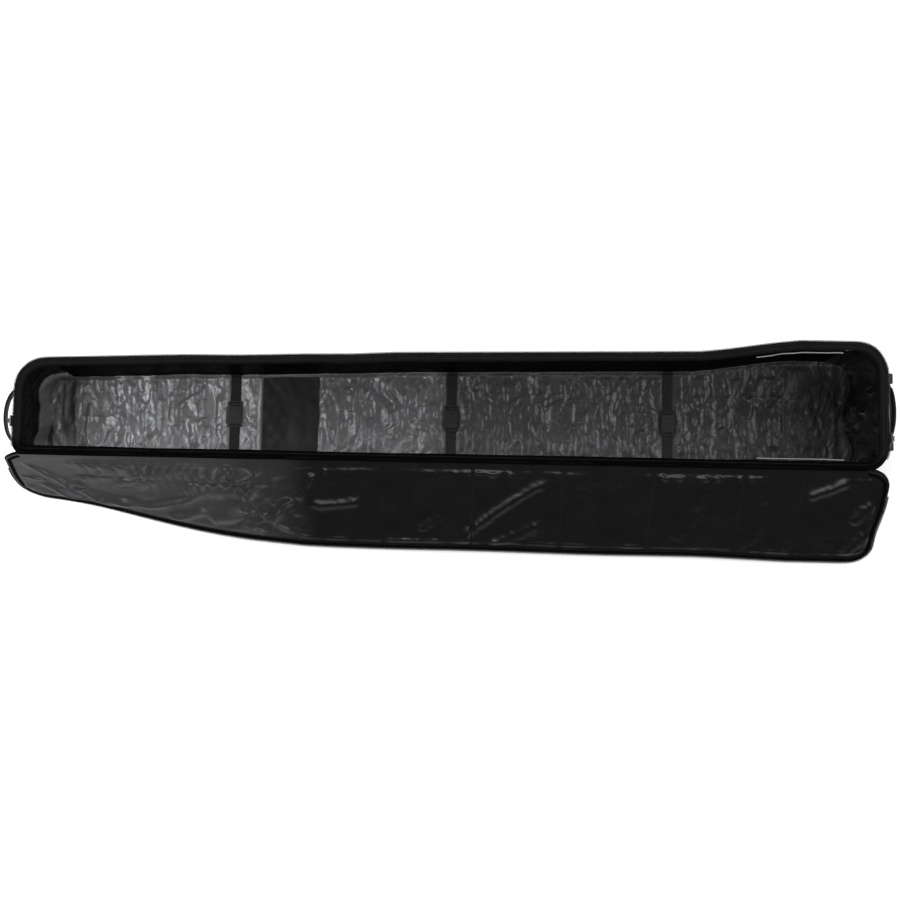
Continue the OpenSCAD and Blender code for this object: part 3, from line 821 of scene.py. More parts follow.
def lining_strip(name, base, normal, crumpled, lean, grain, material, nodes, seed):
    """A strip of lining up the inside of the walls.

    It leans in at its foot; crumpled is the depth of its folds and grain their count per metre
    along and up the wall.
    """
    low, high = FLOOR_Z - 0.002, edge("side_lining", 1, 2)
    run = lengths(base)
    rows = max(12, int(run[-1] / (0.0045 if lean else 0.009)))
    base, normal = resample(base, rows), resample(normal, rows)
    normal /= np.linalg.norm(normal, axis=1)[:, None]
    run = lengths(base)
    columns = 41 if lean else 21
    share = np.linspace(0, 1, columns)
    u = np.broadcast_to(run[:, None], (rows, columns))
    v = np.broadcast_to(low + (high - low) * share, (rows, columns))
    held = np.sin(math.pi * share)[None, :] ** 0.5
    a, b = grain
    folds = 0.9 * noise(u * a + 2 * noise(u * 9, v * 9, seed), v * b, seed + 1)
    folds = folds + 0.6 * noise((u + v) * a, (u - v) * 0.6 * b, seed + 2)
    folds = folds + 0.4 * noise(u * 2.2 * a, v * 2.2 * b, seed + 3)
    height = crumpled * held * (0.35 + 0.75 * folds)
    pinned = np.zeros(u.shape, bool)
    pinned[[0, -1]] = True
    pinned[:, [0, -1]] = True
    height = np.where(pinned, 0, height)
    if lean:
        height = settle(u, v, height, pinned, (0.14, 0.14), 0.3, 1.2 * crumpled, 0.04)
    height, u, v = refine(height), refine(u), refine(v)
    if lean:
        facets = ridge(u * 1.6 * a + v * 9, v * 1.6 * b, seed + 4) ** 2
        facets = facets + 0.5 * ridge(u * 3 * a, v * 3 * b + u * 20, seed + 5) ** 2 - 0.5
        height = height + 0.45 * crumpled * facets * refine(np.broadcast_to(held, pinned.shape))
    base, normal = refine_rows(base), refine_rows(normal)
    foot = (1 - np.linspace(0, 1, u.shape[1])[None, :]) ** 1.2 * np.abs(normal[:, :1]) ** 1.5
    inward = LINED_WALL - 0.0002 + lifted(height, 0.3 * crumpled) + lean * foot
    points = np.concatenate([base[:, None] - normal[:, None] * inward[..., None], v[..., None]], -1)
    piece = grid(name, points, (u[:, 0], v[0]), flip=True)
    solid = piece.modifiers.new("thickness", "SOLIDIFY")
    solid.thickness = 0.0006
    solid.offset = 1
    dress(piece, material, "tub", nodes)


def make_wall_linings():
    """The lining up the walls: dull on the long walls, glossy and crumpled at the boot end."""
    base, normal, _ = ring_path(1600)
    seams = corner_seams()
    strips = {
        "nose_sheet": (base[:, 0] < seams[0] + 0.004, 0.0080, 0.024, (26, 26), "grey", "grey_lining",
                       ("nose_lining",), 40),
        "boot_sheet": (base[:, 0] > seams[1] - 0.004, 0.0120, 0.046, (24, 17), "boot", "black_lining",
                       ("boot_lining",), 50),
        "back_sheet": ((base[:, 0] > seams[0] - 0.004) & (base[:, 0] < seams[1] + 0.004) & (base[:, 1] > 0),
                       0.0024, 0, (26, 12), "black", "black_lining", ("side_lining",), 60),
        "front_sheet": ((base[:, 0] > seams[0] - 0.004) & (base[:, 0] < seams[1] + 0.004) & (base[:, 1] < 0),
                        0.0024, 0, (26, 12), "black", "black_lining", ("side_lining",), 70)}
    for name, (mask, crumpled, lean, grain, material, slot, nodes, seed) in strips.items():
        keep = np.flatnonzero(mask)
        gap = np.flatnonzero(np.diff(keep) > 1)
        if len(gap):
            keep = np.concatenate([keep[gap[0] + 1:], keep[:gap[0] + 1]])
        lining_strip(name, base[keep], normal[keep], crumpled, lean, grain, material, nodes, seed)


def make_label():
    """A smooth dark panel sewn across the floor lining; it carries no print."""
    low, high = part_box("label_panel")
    xs = np.linspace(low.x, high.x, 60)
    front, back = tub_span(xs, LINED_WALL + 0.002)
    v = np.linspace(0, 1, 90)
    y = front[:, None] + (back - front)[:, None] * v
    x = np.broadcast_to(xs[:, None], y.shape)
    z = low.z + 0.0040 + 0.0012 * noise(x * 24, y * 14, 60) + 0.0006 * noise(x * 60, y * 50, 61)
    panel = grid("dark_panel", np.stack([x, y, z], -1), (xs - low.x, v * 0.22))
    solid = panel.modifiers.new("thickness", "SOLIDIFY")
    solid.thickness = 0.0012
    solid.offset = -1
    dress(panel, "label", "tub", ("label_panel",))
    rows = []
    for x_stitch in (low.x + 0.004, high.x - 0.004):
        path = np.stack([np.full(80, x_stitch), np.linspace(front[0] + 0.004, back[0] - 0.004, 80),
                         np.full(80, low.z + 0.0050)], -1)
        rows.append(path)
    stitches("panel_stitching", rows, "tub")


def make_rim():
    """The flat band of zipper tape that lies over the rim, and the welts under it."""
    top = RIM_Z
    section = [(-0.0012, top - 0.006), (-0.0012, top - 0.0015), (0.0005, top + 0.0002), (0.004, top + 0.0009),
               (0.009, top + 0.0012), (0.014, top + 0.0009), (LINED_WALL, top + 0.0002),
               (LINED_WALL + 0.0022, top - 0.002), (LINED_WALL + 0.0026, top - 0.012),
               (LINED_WALL + 0.0016, top - 0.012), (LINED_WALL - 0.001, top - 0.003), (0.002, top - 0.0025)]

    def shift(run, inset, height):
        sway = 0.0016 * noise(run * 9, 0.5, 70) + 0.0008 * noise(run * 26, 0.5, 71)
        lift = 0.0007 * noise(run * 14, inset * 40, 72) * (height > top - 0.002)
        return np.where(inset > 0.006, sway, 0.2 * sway) * 0.8, np.abs(lift)

    band = tub_ring("rim_band", section, 900, shift)
    dress(band, "tape", "tub", ("rim_tape", "hinge_tape"))

    for name, node in (("rim_welt", "rim_piping"), ("base_welt", "base_piping")):
        low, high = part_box(node)
        middle, radius = (low.z + high.z) / 2, (high.z - low.z) / 2
        circle = oval(2 * radius * 0.92, 2 * radius, 10)
        section = [(-a - 0.0002, middle + b) for a, b in circle]
        welt = tub_ring(name, section, 900)
        dress(welt, "binding", "tub", (node,))

    base, normal, run = ring_path(1500)
    inner_row = base - normal * 0.0125
    outer_row = base - normal * 0.0035
    seam_z = top + 0.0013
    rows = [np.column_stack([inner_row, np.full(len(base), seam_z)]),
            np.column_stack([outer_row, np.full(len(base), seam_z - 0.0004)])]
    low_row = base + normal * 0.0006
    rows.append(np.column_stack([low_row, np.full(len(base), edge("base_piping", 1, 2) + 0.004)]))
    stitches("rim_stitching", rows, "tub")


def zip_run(path_xy):
    """The part of a path round the rim that carries the zipper: both ends and the back."""
    low = edge("rim_teeth", 0, 1)
    corner = HINGE_Y + 0.040
    keep = (path_xy[:, 1] > corner) | (np.abs(path_xy[:, 0]) > HALF - 0.006)
    return keep & (path_xy[:, 1] > low + 0.012)


def coil(name, path, out, up, pitch=0.0032, width=0.0052, height=0.0036):
    """A nylon coil: one rounded loop for each tooth, set on its tape and leaning a little."""
    path = np.asarray(path, float)
    run = lengths(path)
    count = int(run[-1] / pitch)
    at = (np.arange(count) + 0.5) * pitch
    centre = np.stack([np.interp(at, run, path[:, k]) for k in range(3)], -1)
    side = np.stack([np.interp(at, run, out[:, k]) for k in range(3)], -1)
    lift = np.stack([np.interp(at, run, up[:, k]) for k in range(3)], -1)
    side /= np.linalg.norm(side, axis=1)[:, None]
    lift /= np.linalg.norm(lift, axis=1)[:, None]
    forward = np.cross(side, lift)
    around, rings = 8, 4
    phi = np.linspace(0, 2 * math.pi, around, endpoint=False)
    theta = np.linspace(0.15, math.pi - 0.15, rings)
    local = []
    for t in theta:
        for p in phi:
            local.append((math.cos(t) * width / 2, math.sin(t) * math.sin(p) * height / 2,
                          math.sin(t) * math.cos(p) * pitch * 0.42))
    local = np.array(local)
    points = (centre[:, None] + side[:, None] * local[None, :, :1] + lift[:, None] * local[None, :, 1:2]
              + forward[:, None] * local[None, :, 2:])
    faces = tube_faces(rings, around)
    caps = [list(range(around))[::-1], [(rings - 1) * around + p for p in range(around)]]
    each = rings * around
    all_faces = []
    for k in range(count):
        all_faces += [[k * each + i for i in face] for face in faces]
        all_faces += [[k * each + i for i in face] for face in caps]
    return smooth_piece(name, points.reshape(-1, 3), all_faces)


def stitches(name, rows, body, length=0.0032, gap=0.0016, radius=0.00035, blend=None):
    """Thread laid along rows of points, one short rounded bar for each stitch."""
    pitch = length + gap
    starts, ends = [], []
    for row in rows:
        row = np.asarray(row, float)
        run = lengths(row)
        at = np.arange(0, run[-1] - length, pitch)
        starts.append(np.stack([np.interp(at, run, row[:, k]) for k in range(3)], -1))
        ends.append(np.stack([np.interp(at + length, run, row[:, k]) for k in range(3)], -1))
    start, end = np.concatenate(starts), np.concatenate(ends)
    forward = end - start
    forward /= np.linalg.norm(forward, axis=1)[:, None] + 1e-9
    up = np.where(np.abs(forward[:, 2:]) > 0.9, [[0.0, 1.0, 0.0]], [[0.0, 0.0, 1.0]])
    side = np.cross(forward, up)
    side /= np.linalg.norm(side, axis=1)[:, None]
    lift = np.cross(side, forward)
    corners = [(0.1, 0.45), (0.3, 1.0), (0.7, 1.0), (0.9, 0.45)]
    sides = 6
    angle = np.linspace(0, 2 * math.pi, sides, endpoint=False)
    points = []
    for share, size in corners:
        middle = start + (end - start) * share
        for a in angle:
            across, above = radius * size * math.cos(a), radius * size * math.sin(a)
            points.append(middle + side * across + lift * above)
    points = np.stack(points, 1)
    each = len(corners) * sides
    faces = tube_faces(len(corners), sides)
    faces.append(tuple(range(sides))[::-1])
    faces.append(tuple((len(corners) - 1) * sides + p for p in range(sides)))
    all_faces = [[k * each + i for i in face] for k in range(len(start)) for face in faces]
    piece = smooth_piece(name, points.reshape(-1, 3), all_faces)
    dress(piece, "thread", body if blend is None else None)
    if blend:
        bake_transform(piece)
    return piece


def make_rim_teeth():
    base, normal, _ = ring_path(3000, -0.0022)
    keep = zip_run(base)
    first = np.flatnonzero(keep & ~np.roll(keep, 1))[0]
    order = (np.arange(len(base)) + first) % len(base)
    order = order[keep[order]]
    level = (edge("rim_teeth", 0, 2) + edge("rim_teeth", 1, 2)) / 2
    path = np.column_stack([base[order], np.full(len(order), level)])
    out = np.column_stack([normal[order], np.zeros(len(order))])
    up = np.broadcast_to((0.0, 0.0, 1.0), path.shape)
    teeth = coil("rim_coil", path, out, up)
    dress(teeth, "teeth", "tub", ("rim_teeth",))


def make_hinge_roll():
    """The rolled welt on the hinge line, in which the lid's edge turns."""
    start = edge("hinge_tape", 0, 0) - 0.006
    end = edge("hinge_tape", 1, 0) + 0.004
    xs = np.linspace(start, end, 700)
    path = np.stack([xs, HINGE_Y + 0.0004 * noise(xs * 12, 0.5, 80),
                     HINGE_Z - 0.0006 + 0.0005 * noise(xs * 15, 0.5, 81)], -1)
    roll = sweep("hinge_roll", path, oval(0.0066, 0.0066, 12))
    # Painted shade: the roll takes the near-black lining, not the welts' binding, standing in for the shade
    # under the lid's fold.
    dress(roll, "black", "tub")


def make_edge_strips():
    low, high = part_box("edge_strips")
    xs = np.linspace(low.x, high.x, 120)
    front, back = tub_span(xs, LINED_WALL + 0.0075)
    strips = []
    for k, ys in enumerate((front, back)):
        z = high.z - 0.002 + 0.0012 * noise(xs * 20, k, 90)
        path = np.stack([xs, ys + 0.0008 * noise(xs * 30, k, 91), z], -1)
        strips.append(sweep("edging_%d" % k, path, oval(0.0030, 0.0036, 10)))
    strip = join_meshes("gloss_edges", strips)
    dress(strip, "gloss", "tub", ("edge_strips",))


# ---------------------------------------------------------------------------------------------
# Lid
# ---------------------------------------------------------------------------------------------

BLEND = ((TWIST_START, HINGE_Y, HINGE_Z), (TWIST_END, HINGE_Y, HINGE_Z))


def lid_reach(x):
    return np.interp(x / HALF, LID_STATIONS, LID_REACHES)


def twist(x):
    t = np.clip((TWIST_START - x) / (TWIST_START - TWIST_END), 0, 1)
    return t * t * (3 - 2 * t)


def lid_place(x, s, t):
    """A point of the lid: s is the reach from the hinge, t the depth towards the outer face."""
    turn = math.pi + LID_SLOPE + NOSE_EXTRA * twist(x)
    y = HINGE_Y + s * np.cos(turn) - t * np.sin(turn)
    z = HINGE_Z + s * np.sin(turn) + t * np.cos(turn)
    return np.stack(np.broadcast_arrays(x, y, z), -1)


def lid_outline(count, inset=0.0):
    """The lid's free edge from the hinge at the nose round to the hinge at the boot end."""
    def arc(cx, cs, r, a0, a1):
        a = np.radians(np.linspace(a0, a1, 14))
        return [(cx + r * math.cos(v), cs + r * math.sin(v)) for v in a]
    c = LID_CORNERS
    points = arc(-HALF + c["front_nose"], c["front_nose"], c["front_nose"], 262, 180)
    nose_reach = lid_reach(-HALF + c["back_nose"])
    points += arc(-HALF + c["back_nose"], nose_reach - c["back_nose"], c["back_nose"], 180, 90)
    points += [(share * HALF, lid_reach(share * HALF)) for share in np.linspace(-0.9, 0.93, 90)]
    points += arc(HALF - c["back_boot"], LID_REACHES[-1] - c["back_boot"], c["back_boot"], 90, 0)
    points += arc(HALF - c["front_boot"], c["front_boot"], c["front_boot"], 0, -85)
    path = resample(np.array(points), count)
    for _ in range(4):
        path[1:-1] = 0.5 * path[1:-1] + 0.25 * (path[:-2] + path[2:])
    free_edge = smooth(path[:, 1], 0.10, 0.18)
    tucked = 1 - smooth(path[:, 0], -0.60, -0.25) + 0.6 * smooth(path[:, 0], -0.2, 0.1)
    tucked = tucked + 1.2 * smooth(path[:, 0], 0.3, 0.7)
    path[:, 1] -= LID_TUCK * free_edge * tucked
    near_hinge = 1 - smooth(path[:, 1], 0.10, 0.21)
    rounded = 0.35 + 0.65 * smooth(path[:, 1], 0.0, 0.03)
    at_nose = 1 - smooth(path[:, 0], -HALF, -HALF + 0.10)
    path[:, 0] -= NOSE_FLARE * at_nose * (0.35 + 0.65 * near_hinge) * rounded
    path[:, 0] += BOOT_FLARE * smooth(path[:, 0], HALF - 0.08, HALF) * near_hinge
    forward = tangents(path)
    normal = np.stack([-forward[:, 1], forward[:, 0]], -1)
    return path - normal * inset, normal


def lid_column_span(xs, inset):
    """Lowest and highest reach of the lid at each X."""
    path, _ = lid_outline(3000, inset)
    nose, boot = np.argmin(path[:, 0]), np.argmax(path[:, 0])
    far = path[nose:boot + 1]
    far = far[np.argsort(far[:, 0])]
    reach = np.interp(xs, far[:, 0], far[:, 1])
    start = np.full_like(xs, 0.001)
    for corner in (path[:nose + 1], path[boot:]):
        corner = corner[np.argsort(corner[:, 0])]
        within = (xs >= corner[0, 0]) & (xs <= corner[-1, 0])
        start = np.where(within, np.maximum(start, np.interp(xs, corner[:, 0], corner[:, 1])), start)
    return start, reach


def lid_columns(count, inset):
    """X of the lid's columns, a little closer together at its ends."""
    path, _ = lid_outline(3000, inset)
    low, high = path[:, 0].min() + 1e-4, path[:, 0].max() - 1e-4
    even = np.linspace(0, 1, count)
    share = even + (0.5 - 0.5 * np.cos(math.pi * even) - even) * 0.06
    return low + (high - low) * share


def thickness(x):
    return FLAP_THICK + (LID_THICK - FLAP_THICK) * smooth(x, FLAP_SEAM - 0.02, FLAP_SEAM + 0.30)


def rib_distance(x):
    k = np.clip(np.round((x - RIB_FIRST) / RIB_PITCH), 0, RIB_COUNT - 1)
    return np.minimum(np.abs(x - (RIB_FIRST + k * RIB_PITCH)), np.abs(x - BOOT_FOLD))


def rib_places():
    return [RIB_FIRST + k * RIB_PITCH for k in range(RIB_COUNT)] + [BOOT_FOLD]


def fold_line(x, s, start, end, width, bow=0.0):
    """A fold from start to end, each (x, s): 1 on its crest, falling to 0 at width; bow bends it."""
    ax, ay = start
    bx, by = end
    length = math.hypot(bx - ax, by - ay)
    ux, uy = (bx - ax) / length, (by - ay) / length
    along = ((x - ax) * ux + (s - ay) * uy) / length
    across = -(x - ax) * uy + (s - ay) * ux - bow * 4 * along * (1 - along)
    inside = smooth(along, -0.05, 0.15) * (1 - smooth(along, 0.85, 1.05))
    return inside * np.exp(-(across / width) ** 2)


def lid_seed(x, s, inside):
    """The shallow folds the lid's lining starts from, before it is let go."""
    free = smooth(inside, BAND - 0.004, BAND + 0.012)
    loose = 1 - smooth(x, -0.46, -0.30)
    padded = 1 - loose
    ribs = np.exp(-(rib_distance(x) / 0.006) ** 2) * smooth(x, -0.3, -0.2)
    height = padded * (0.0016 * (1 - ribs) + 0.0012 * noise(x * 6, s * 7, 101))
    height = height + padded * 0.0007 * noise(x * 16 + 9 * s, s * 12, 102)
    # Small ragged folds beside the hinge
    ragged = np.exp(-((s - 0.032) / 0.011) ** 2) * smooth(noise(x * 7, 0.5, 103), -0.15, 0.25)
    height = height + padded * ragged * 0.0034 * ridge(x * 38, s * 20, 104) ** 2
    edge_folds = smooth(inside, BAND, BAND + 0.004) * (1 - smooth(inside, BAND + 0.006, BAND + 0.020))
    edge_folds = edge_folds * (s > 0.15)
    height = height + padded * edge_folds * 0.0022 * ridge(x * 22, s * 15, 105) ** 2
    # Long folds of the padded part, each (x, reach) to (x, reach)
    for start, end, high, width, bow in (
            ((0.245, 0.045), (0.025, 0.240), 0.0042, 0.0150, 0.010),
            ((0.225, 0.175), (0.100, 0.250), 0.0036, 0.0190, -0.008),
            ((-0.34, 0.135), (-0.215, 0.120), 0.0038, 0.0140, 0.006),
            ((0.865, 0.085), (0.965, 0.035), 0.0040, 0.0150, 0.002),
            ((0.975, 0.262), (1.030, 0.190), 0.0044, 0.0180, 0.004),
            ((0.985, 0.160), (1.030, 0.095), 0.0034, 0.0160, 0.002),
            ((0.560, 0.225), (0.610, 0.115), 0.0022, 0.0180, 0.004),
            ((0.740, 0.240), (0.780, 0.100), 0.0022, 0.0180, 0.004),
            ((-0.080, 0.205), (-0.020, 0.160), 0.0020, 0.0140, 0.004)):
        height = height + high * fold_line(x, s, start, end, width, bow)
    # The loose nose
    height = height + loose * (0.0022 * noise(x * 15, s * 13, 106) + 0.0012 * noise(x * 40, s * 30, 107))
    for start, end, high, width, bow in (
            ((-0.885, 0.160), (-0.600, 0.110), 0.0085, 0.0110, 0.034),
            ((-0.870, 0.190), (-0.640, 0.150), -0.0050, 0.0090, 0.028),
            ((-1.035, 0.040), (-0.800, 0.212), 0.0100, 0.0110, 0.014),
            ((-1.030, 0.075), (-0.840, 0.210), -0.0060, 0.0090, 0.012),
            ((-1.010, 0.130), (-0.900, 0.200), 0.0050, 0.0090, 0.004),
            ((-0.548, 0.020), (-0.450, 0.178), 0.0040, 0.0080, 0.0),
            ((-0.560, 0.020), (-0.462, 0.178), -0.0050, 0.0040, 0.0),
            ((-0.590, 0.195), (-0.500, 0.170), 0.0070, 0.0130, 0.004),
            ((-0.700, 0.205), (-0.600, 0.160), 0.0050, 0.0120, 0.006),
            ((-0.440, 0.200), (-0.385, 0.120), 0.0070, 0.0120, -0.008),
            ((-0.480, 0.210), (-0.420, 0.190), -0.0040, 0.0070, 0.0),
            ((-0.370, 0.120), (-0.330, 0.040), 0.0040, 0.0110, 0.0)):
        height = height + high * fold_line(x, s, start, end, width, bow)
    return free * height


def lid_gathers(x, s, inside):
    """The pleats that two seams hold in the lid's loose nose, and the slack folds below them."""
    free = smooth(inside, BAND - 0.002, BAND + 0.010)
    along = smooth(x, GATHER_START - 0.05, GATHER_START + 0.04) * (1 - smooth(x, -0.50, -0.42))
    first, second = GATHER_SEAMS
    phase = x * 33 + 1.1 * noise(x * 7, 0.3, 108) + 0.7 * noise(x * 9, s * 16, 109)
    pleat = np.abs(np.sin(math.pi * phase)) ** 0.55
    uneven = 0.85 + 0.4 * noise(x * 13, 0.7, 111)
    between = np.clip((s - first) * (second - s) / (0.25 * (second - first) ** 2), 0, 1) ** 0.5
    below = smooth(s, second, second + 0.008) * (1 - smooth(s, second + 0.015, second + 0.055))
    above = smooth(s, 0.014, 0.020) * (1 - smooth(s, first - 0.006, first))
    height = along * pleat * uneven * (0.0095 * between + 0.0065 * below + 0.0040 * above)
    loose = 1 - smooth(x, -0.46, -0.30)
    low = smooth(s, 0.07, 0.12) * loose
    height = height + low * 0.0060 * ridge(x * 7 - s * 22 + 1.5 * noise(x * 6, s * 8, 112), s * 9, 113) ** 2
    height = height + loose * 0.0030 * noise(x * 24 + s * 30, s * 30, 114)
    return free * height


def lid_grid(rows, columns, inset):
    """Even rows and columns over the lid: x, reach s, and distance to the nearest edge."""
    xs = lid_columns(rows, inset)
    start, reach = lid_column_span(xs, inset)
    x = np.broadcast_to(xs[:, None], (rows, columns))
    s = start[:, None] + (reach - start)[:, None] * np.linspace(0, 1, columns)
    middle = (xs[0] + xs[-1]) / 2
    inside = np.minimum(s - start[:, None], reach[:, None] - s)
    inside = np.minimum(inside, xs[-1] - np.abs(x - middle) - middle)
    return x, s, inside


def make_lid_inside():
    """The lid's lining, sewn down at its edge, its ribs and the gathering seams, and loose between them."""
    x, s, inside = lid_grid(431, 55, 0.003)
    seed = lid_seed(x, s, inside)
    pinned = inside < BAND - 0.002
    pinned[[0, -1]] = True
    pinned[:, [0, -1]] = True
    for rib in rib_places():
        pinned[np.argmin(np.abs(x[:, 0] - rib))] = True
    gathered = (x > GATHER_START) & (x < GATHER_END)
    step = s[:, 1:2] - s[:, :1]
    for line in GATHER_SEAMS:
        pinned |= gathered & (np.abs(s - line) < step * 0.5)
    seed = np.where(pinned & (inside < BAND - 0.002), 0, seed)
    loose = 1 - smooth(x, -0.46, -0.30)
    slack = (0.012 + 0.085 * loose, 0.010 + 0.060 * loose)
    height = settle(x, s, np.where(pinned, 0.25 * seed, seed), pinned, slack, 0.1, 0.0160, 0.045)
    height, x, s, inside = refine(height), refine(x), refine(s), refine(inside)
    height = height + lid_gathers(x, s, inside)
    fine = smooth(inside, BAND, BAND + 0.01) * 0.0004 * noise(x * 90, s * 80, 110)
    points = lid_place(x, s, -lifted(height + fine, 0.0012))
    points[..., 2] = np.maximum(points[..., 2], 0.004)
    sheet = grid("lid_inner_sheet", points, (x[:, 0] + HALF, np.linspace(0, 0.28, x.shape[1])))
    solid = sheet.modifiers.new("thickness", "SOLIDIFY")
    solid.thickness = 0.0008
    solid.offset = -1
    dress(sheet, "lid", None, ("lid_lining", "flap_lining"))
    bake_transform(sheet)


def make_lid_pad():
    """The padded body of the lid with its outer fabric, thin and loose at the nose."""
    x, s, inside = lid_grid(281, 35, 0.002)
    ribs = np.exp(-(rib_distance(x) / 0.006) ** 2) * smooth(x, -0.3, -0.2)
    free = smooth(inside, 0, 0.02)
    puckers = 0.0022 * noise(x * 9, s * 11, 121) + 0.0016 * noise(x * 26 + 9 * s, s * 18, 122)
    seed = free * (0.0012 + puckers - 0.0008 * ribs)
    pinned = np.zeros(x.shape, bool)
    pinned[[0, -1]] = True
    pinned[:, [0, -1]] = True
    for rib in rib_places():
        pinned[np.argmin(np.abs(x[:, 0] - rib))] = True
    height = settle(x, s, np.where(pinned, 0, seed), pinned, (0.02, 0.02), 0.6, 0.0045, 0.09)
    height, x, s, inside = refine(height), refine(x), refine(s), refine(inside)
    near_hinge = smooth(s, 0.002, 0.026)
    thick = thickness(x) - 0.0022
    under = 0.0014 + near_hinge * (0.4 + 0.6 * smooth(inside, -0.001, 0.012)) * thick
    under = under + near_hinge * smooth(inside, 0, 0.02) * height
    top = lid_place(x, s, 0.0016 + 0 * s)
    bottom = lid_place(x, s, under)
    bottom[..., 2] = np.maximum(bottom[..., 2], 0.0008)
    loop = np.concatenate([top, bottom[:, ::-1]], 1)
    width = np.linspace(0, 0.28, x.shape[1])
    around = np.concatenate([width, 0.57 - width[::-1]])
    pad = grid("lid_pad", loop, (x[:, 0] + HALF, around), loop_v=True, cap=True, flip=True)
    dress(pad, "outer", None, ("lid_shell", "lid_gusset", "lid_foam", "flap_shell"))
    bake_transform(pad)
    rows = []
    for rib in rib_places():
        s_row = np.linspace(0.024, float(lid_reach(rib)) - 0.022, 120)
        rows.append(lid_place(np.full(120, rib), s_row, np.full(120, -0.0008)))
    for line in GATHER_SEAMS:
        x_row = np.linspace(GATHER_START, GATHER_END, 200)
        rows.append(lid_place(x_row, np.full(200, line), np.full(200, -0.0014)))
    stitches("lid_stitching", rows, None, blend=BLEND)


def lid_path_section(name, count, section, centre_inset, t_of_x, sway=0.0):
    """Sweeps (out, depth) pairs along the lid's free edge; out is away from the lid."""
    path, normal = lid_outline(count)
    run = lengths(path)
    section = np.asarray(section, float)
    if section.ndim == 2:
        section = np.broadcast_to(section, (count, *section.shape))
    out = section[..., 0] - centre_inset
    if sway:
        out = out + (sway * noise(run * 12, 0.5, 130))[:, None]
    x = path[:, 0][:, None] + normal[:, 0][:, None] * out
    s = path[:, 1][:, None] + normal[:, 1][:, None] * out
    depth = t_of_x(path[:, 0])[:, None] + section[..., 1]
    points = lid_place(x, np.maximum(s, 0.0006), depth)
    points[..., 2] = np.maximum(points[..., 2], 0.0006)
    section_run = lengths(np.vstack([section[0], section[0][:1]]))[:-1]
    return grid(name, points, (run, section_run), loop_v=True, cap=True)


def make_lid_edges():
    count = 900
    path, _ = lid_outline(count)
    thick = thickness(path[:, 0])
    ring = oval(1.0, 1.0, 14, 2.6)
    section = np.stack([np.stack([ring[:, 0] * 0.0075, ring[:, 1] * (deep + 0.0004)], -1) for deep in thick])
    binding = lid_path_section("lid_edge_binding", count, section, 0.0038,
                               lambda x: thickness(x) / 2 + 0.0002)
    dress(binding, "binding", None, ("lid_binding", "flap_binding"))
    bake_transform(binding)

    flat = [(0.0, 0.0), (0.0, -0.0012), (0.004, -0.0019), (0.010, -0.0019), (0.0145, -0.0012), (0.0145, 0.0)]
    flat = [(a - 0.0145, b) for a, b in flat]
    tape = lid_path_section("lid_zip_tape", count, flat, 0.0045, lambda x: 0 * x + 0.0002, sway=0.0006)
    dress(tape, "tape", None, ("lid_tape", "flap_tape", "lid_hinge_tape", "flap_hinge_tape"))
    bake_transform(tape)

    dense, dense_normal = lid_outline(2600, -0.0012)
    keep = dense[:, 1] > 0.075
    dense, dense_normal = dense[keep], dense_normal[keep]
    x, s = dense[:, 0], dense[:, 1]
    middle = lid_place(x, s, np.full(len(x), 0.0022))
    beyond = lid_place(x + 0.001 * dense_normal[:, 0], s + 0.001 * dense_normal[:, 1],
                       np.full(len(x), 0.0022))
    out = beyond - middle
    lift = lid_place(x, s, np.full(len(x), 0.0012)) - middle
    teeth = coil("lid_coil", middle, out, lift)
    dress(teeth, "teeth", None, ("lid_teeth", "flap_teeth"))
    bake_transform(teeth)

    rows = []
    for inset in (0.0062, 0.0165):
        row, _ = lid_outline(1500, inset)
        rows.append(lid_place(row[:, 0], np.maximum(row[:, 1], 0.002), np.full(len(row), -0.0020)))
    stitches("lid_edge_stitching", rows, None, blend=BLEND)


# ---------------------------------------------------------------------------------------------
# Straps, buckles, handles
# ---------------------------------------------------------------------------------------------

PATCH_SIZE = 0.036
# How far the boot handle stands out from the wall
BOOT_REACH = 0.041
LOOP_WIDTH = 0.024


def webbing_section(width, thick):
    """A flat section with soft edges; side is the width."""
    return oval(width, thick, 20, 5.0)


def make_straps():
    for name in ("nose", "mid", "boot"):
        for side in ("front", "back"):
            node = "strap_%s_%s" % (side, name)
            low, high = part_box(node)
            x = (low.x + high.x) / 2
            wall_y, free_y = (low.y, high.y) if side == "front" else (high.y, low.y)
            toward = 1 if free_y > wall_y else -1
            z = low.z + 0.0028
            rise = [(wall_y + toward * 0.0045, high.z), (wall_y + toward * 0.0045, low.z + 0.012),
                    (wall_y + toward * 0.007, low.z + 0.006), (wall_y + toward * 0.014, z)]
            flat = [(y, z + 0.0010 * float(noise(y * 40, x, 140))) for y in
                    np.linspace(wall_y + toward * 0.02, free_y + toward * 0.004, 16)]
            path = np.array([(x, y, h) for y, h in rise + flat])
            path = resample(path, 60)
            width = high.x - low.x
            strap = sweep(node + "_web", path, webbing_section(width, 0.0017), up=strap_up(path))
            dress(strap, "webbing", "tub", (node,))


def strap_up(path):
    """The face direction of a strap that runs in a YZ plane."""
    return np.cross(np.array([1.0, 0, 0]), tangents(path))


def end_loop(end, middle_y, spread, reach, count=90):
    """The centreline of an end handle's webbing, from wall to wall."""
    a = np.radians(np.linspace(-70, 70, 40))
    x = np.concatenate([[0.0035, 0.010], reach * np.cos(a) ** 0.7, [0.010, 0.0035]])
    y = np.concatenate([[-spread, -spread - 0.001], (spread + 0.004) * np.sin(a) / math.sin(math.radians(70)),
                        [spread + 0.001, spread]])
    path = np.stack([end * (HALF + x), middle_y + y, np.full(len(x), 0.1)], -1)
    path = resample(path, count)
    for _ in range(6):
        path[1:-1] = 0.5 * path[1:-1] + 0.25 * (path[:-2] + path[2:])
    out = end * path[:, 0] - HALF
    path[:, 0] = end * (HALF + out * reach / out.max())
    return path


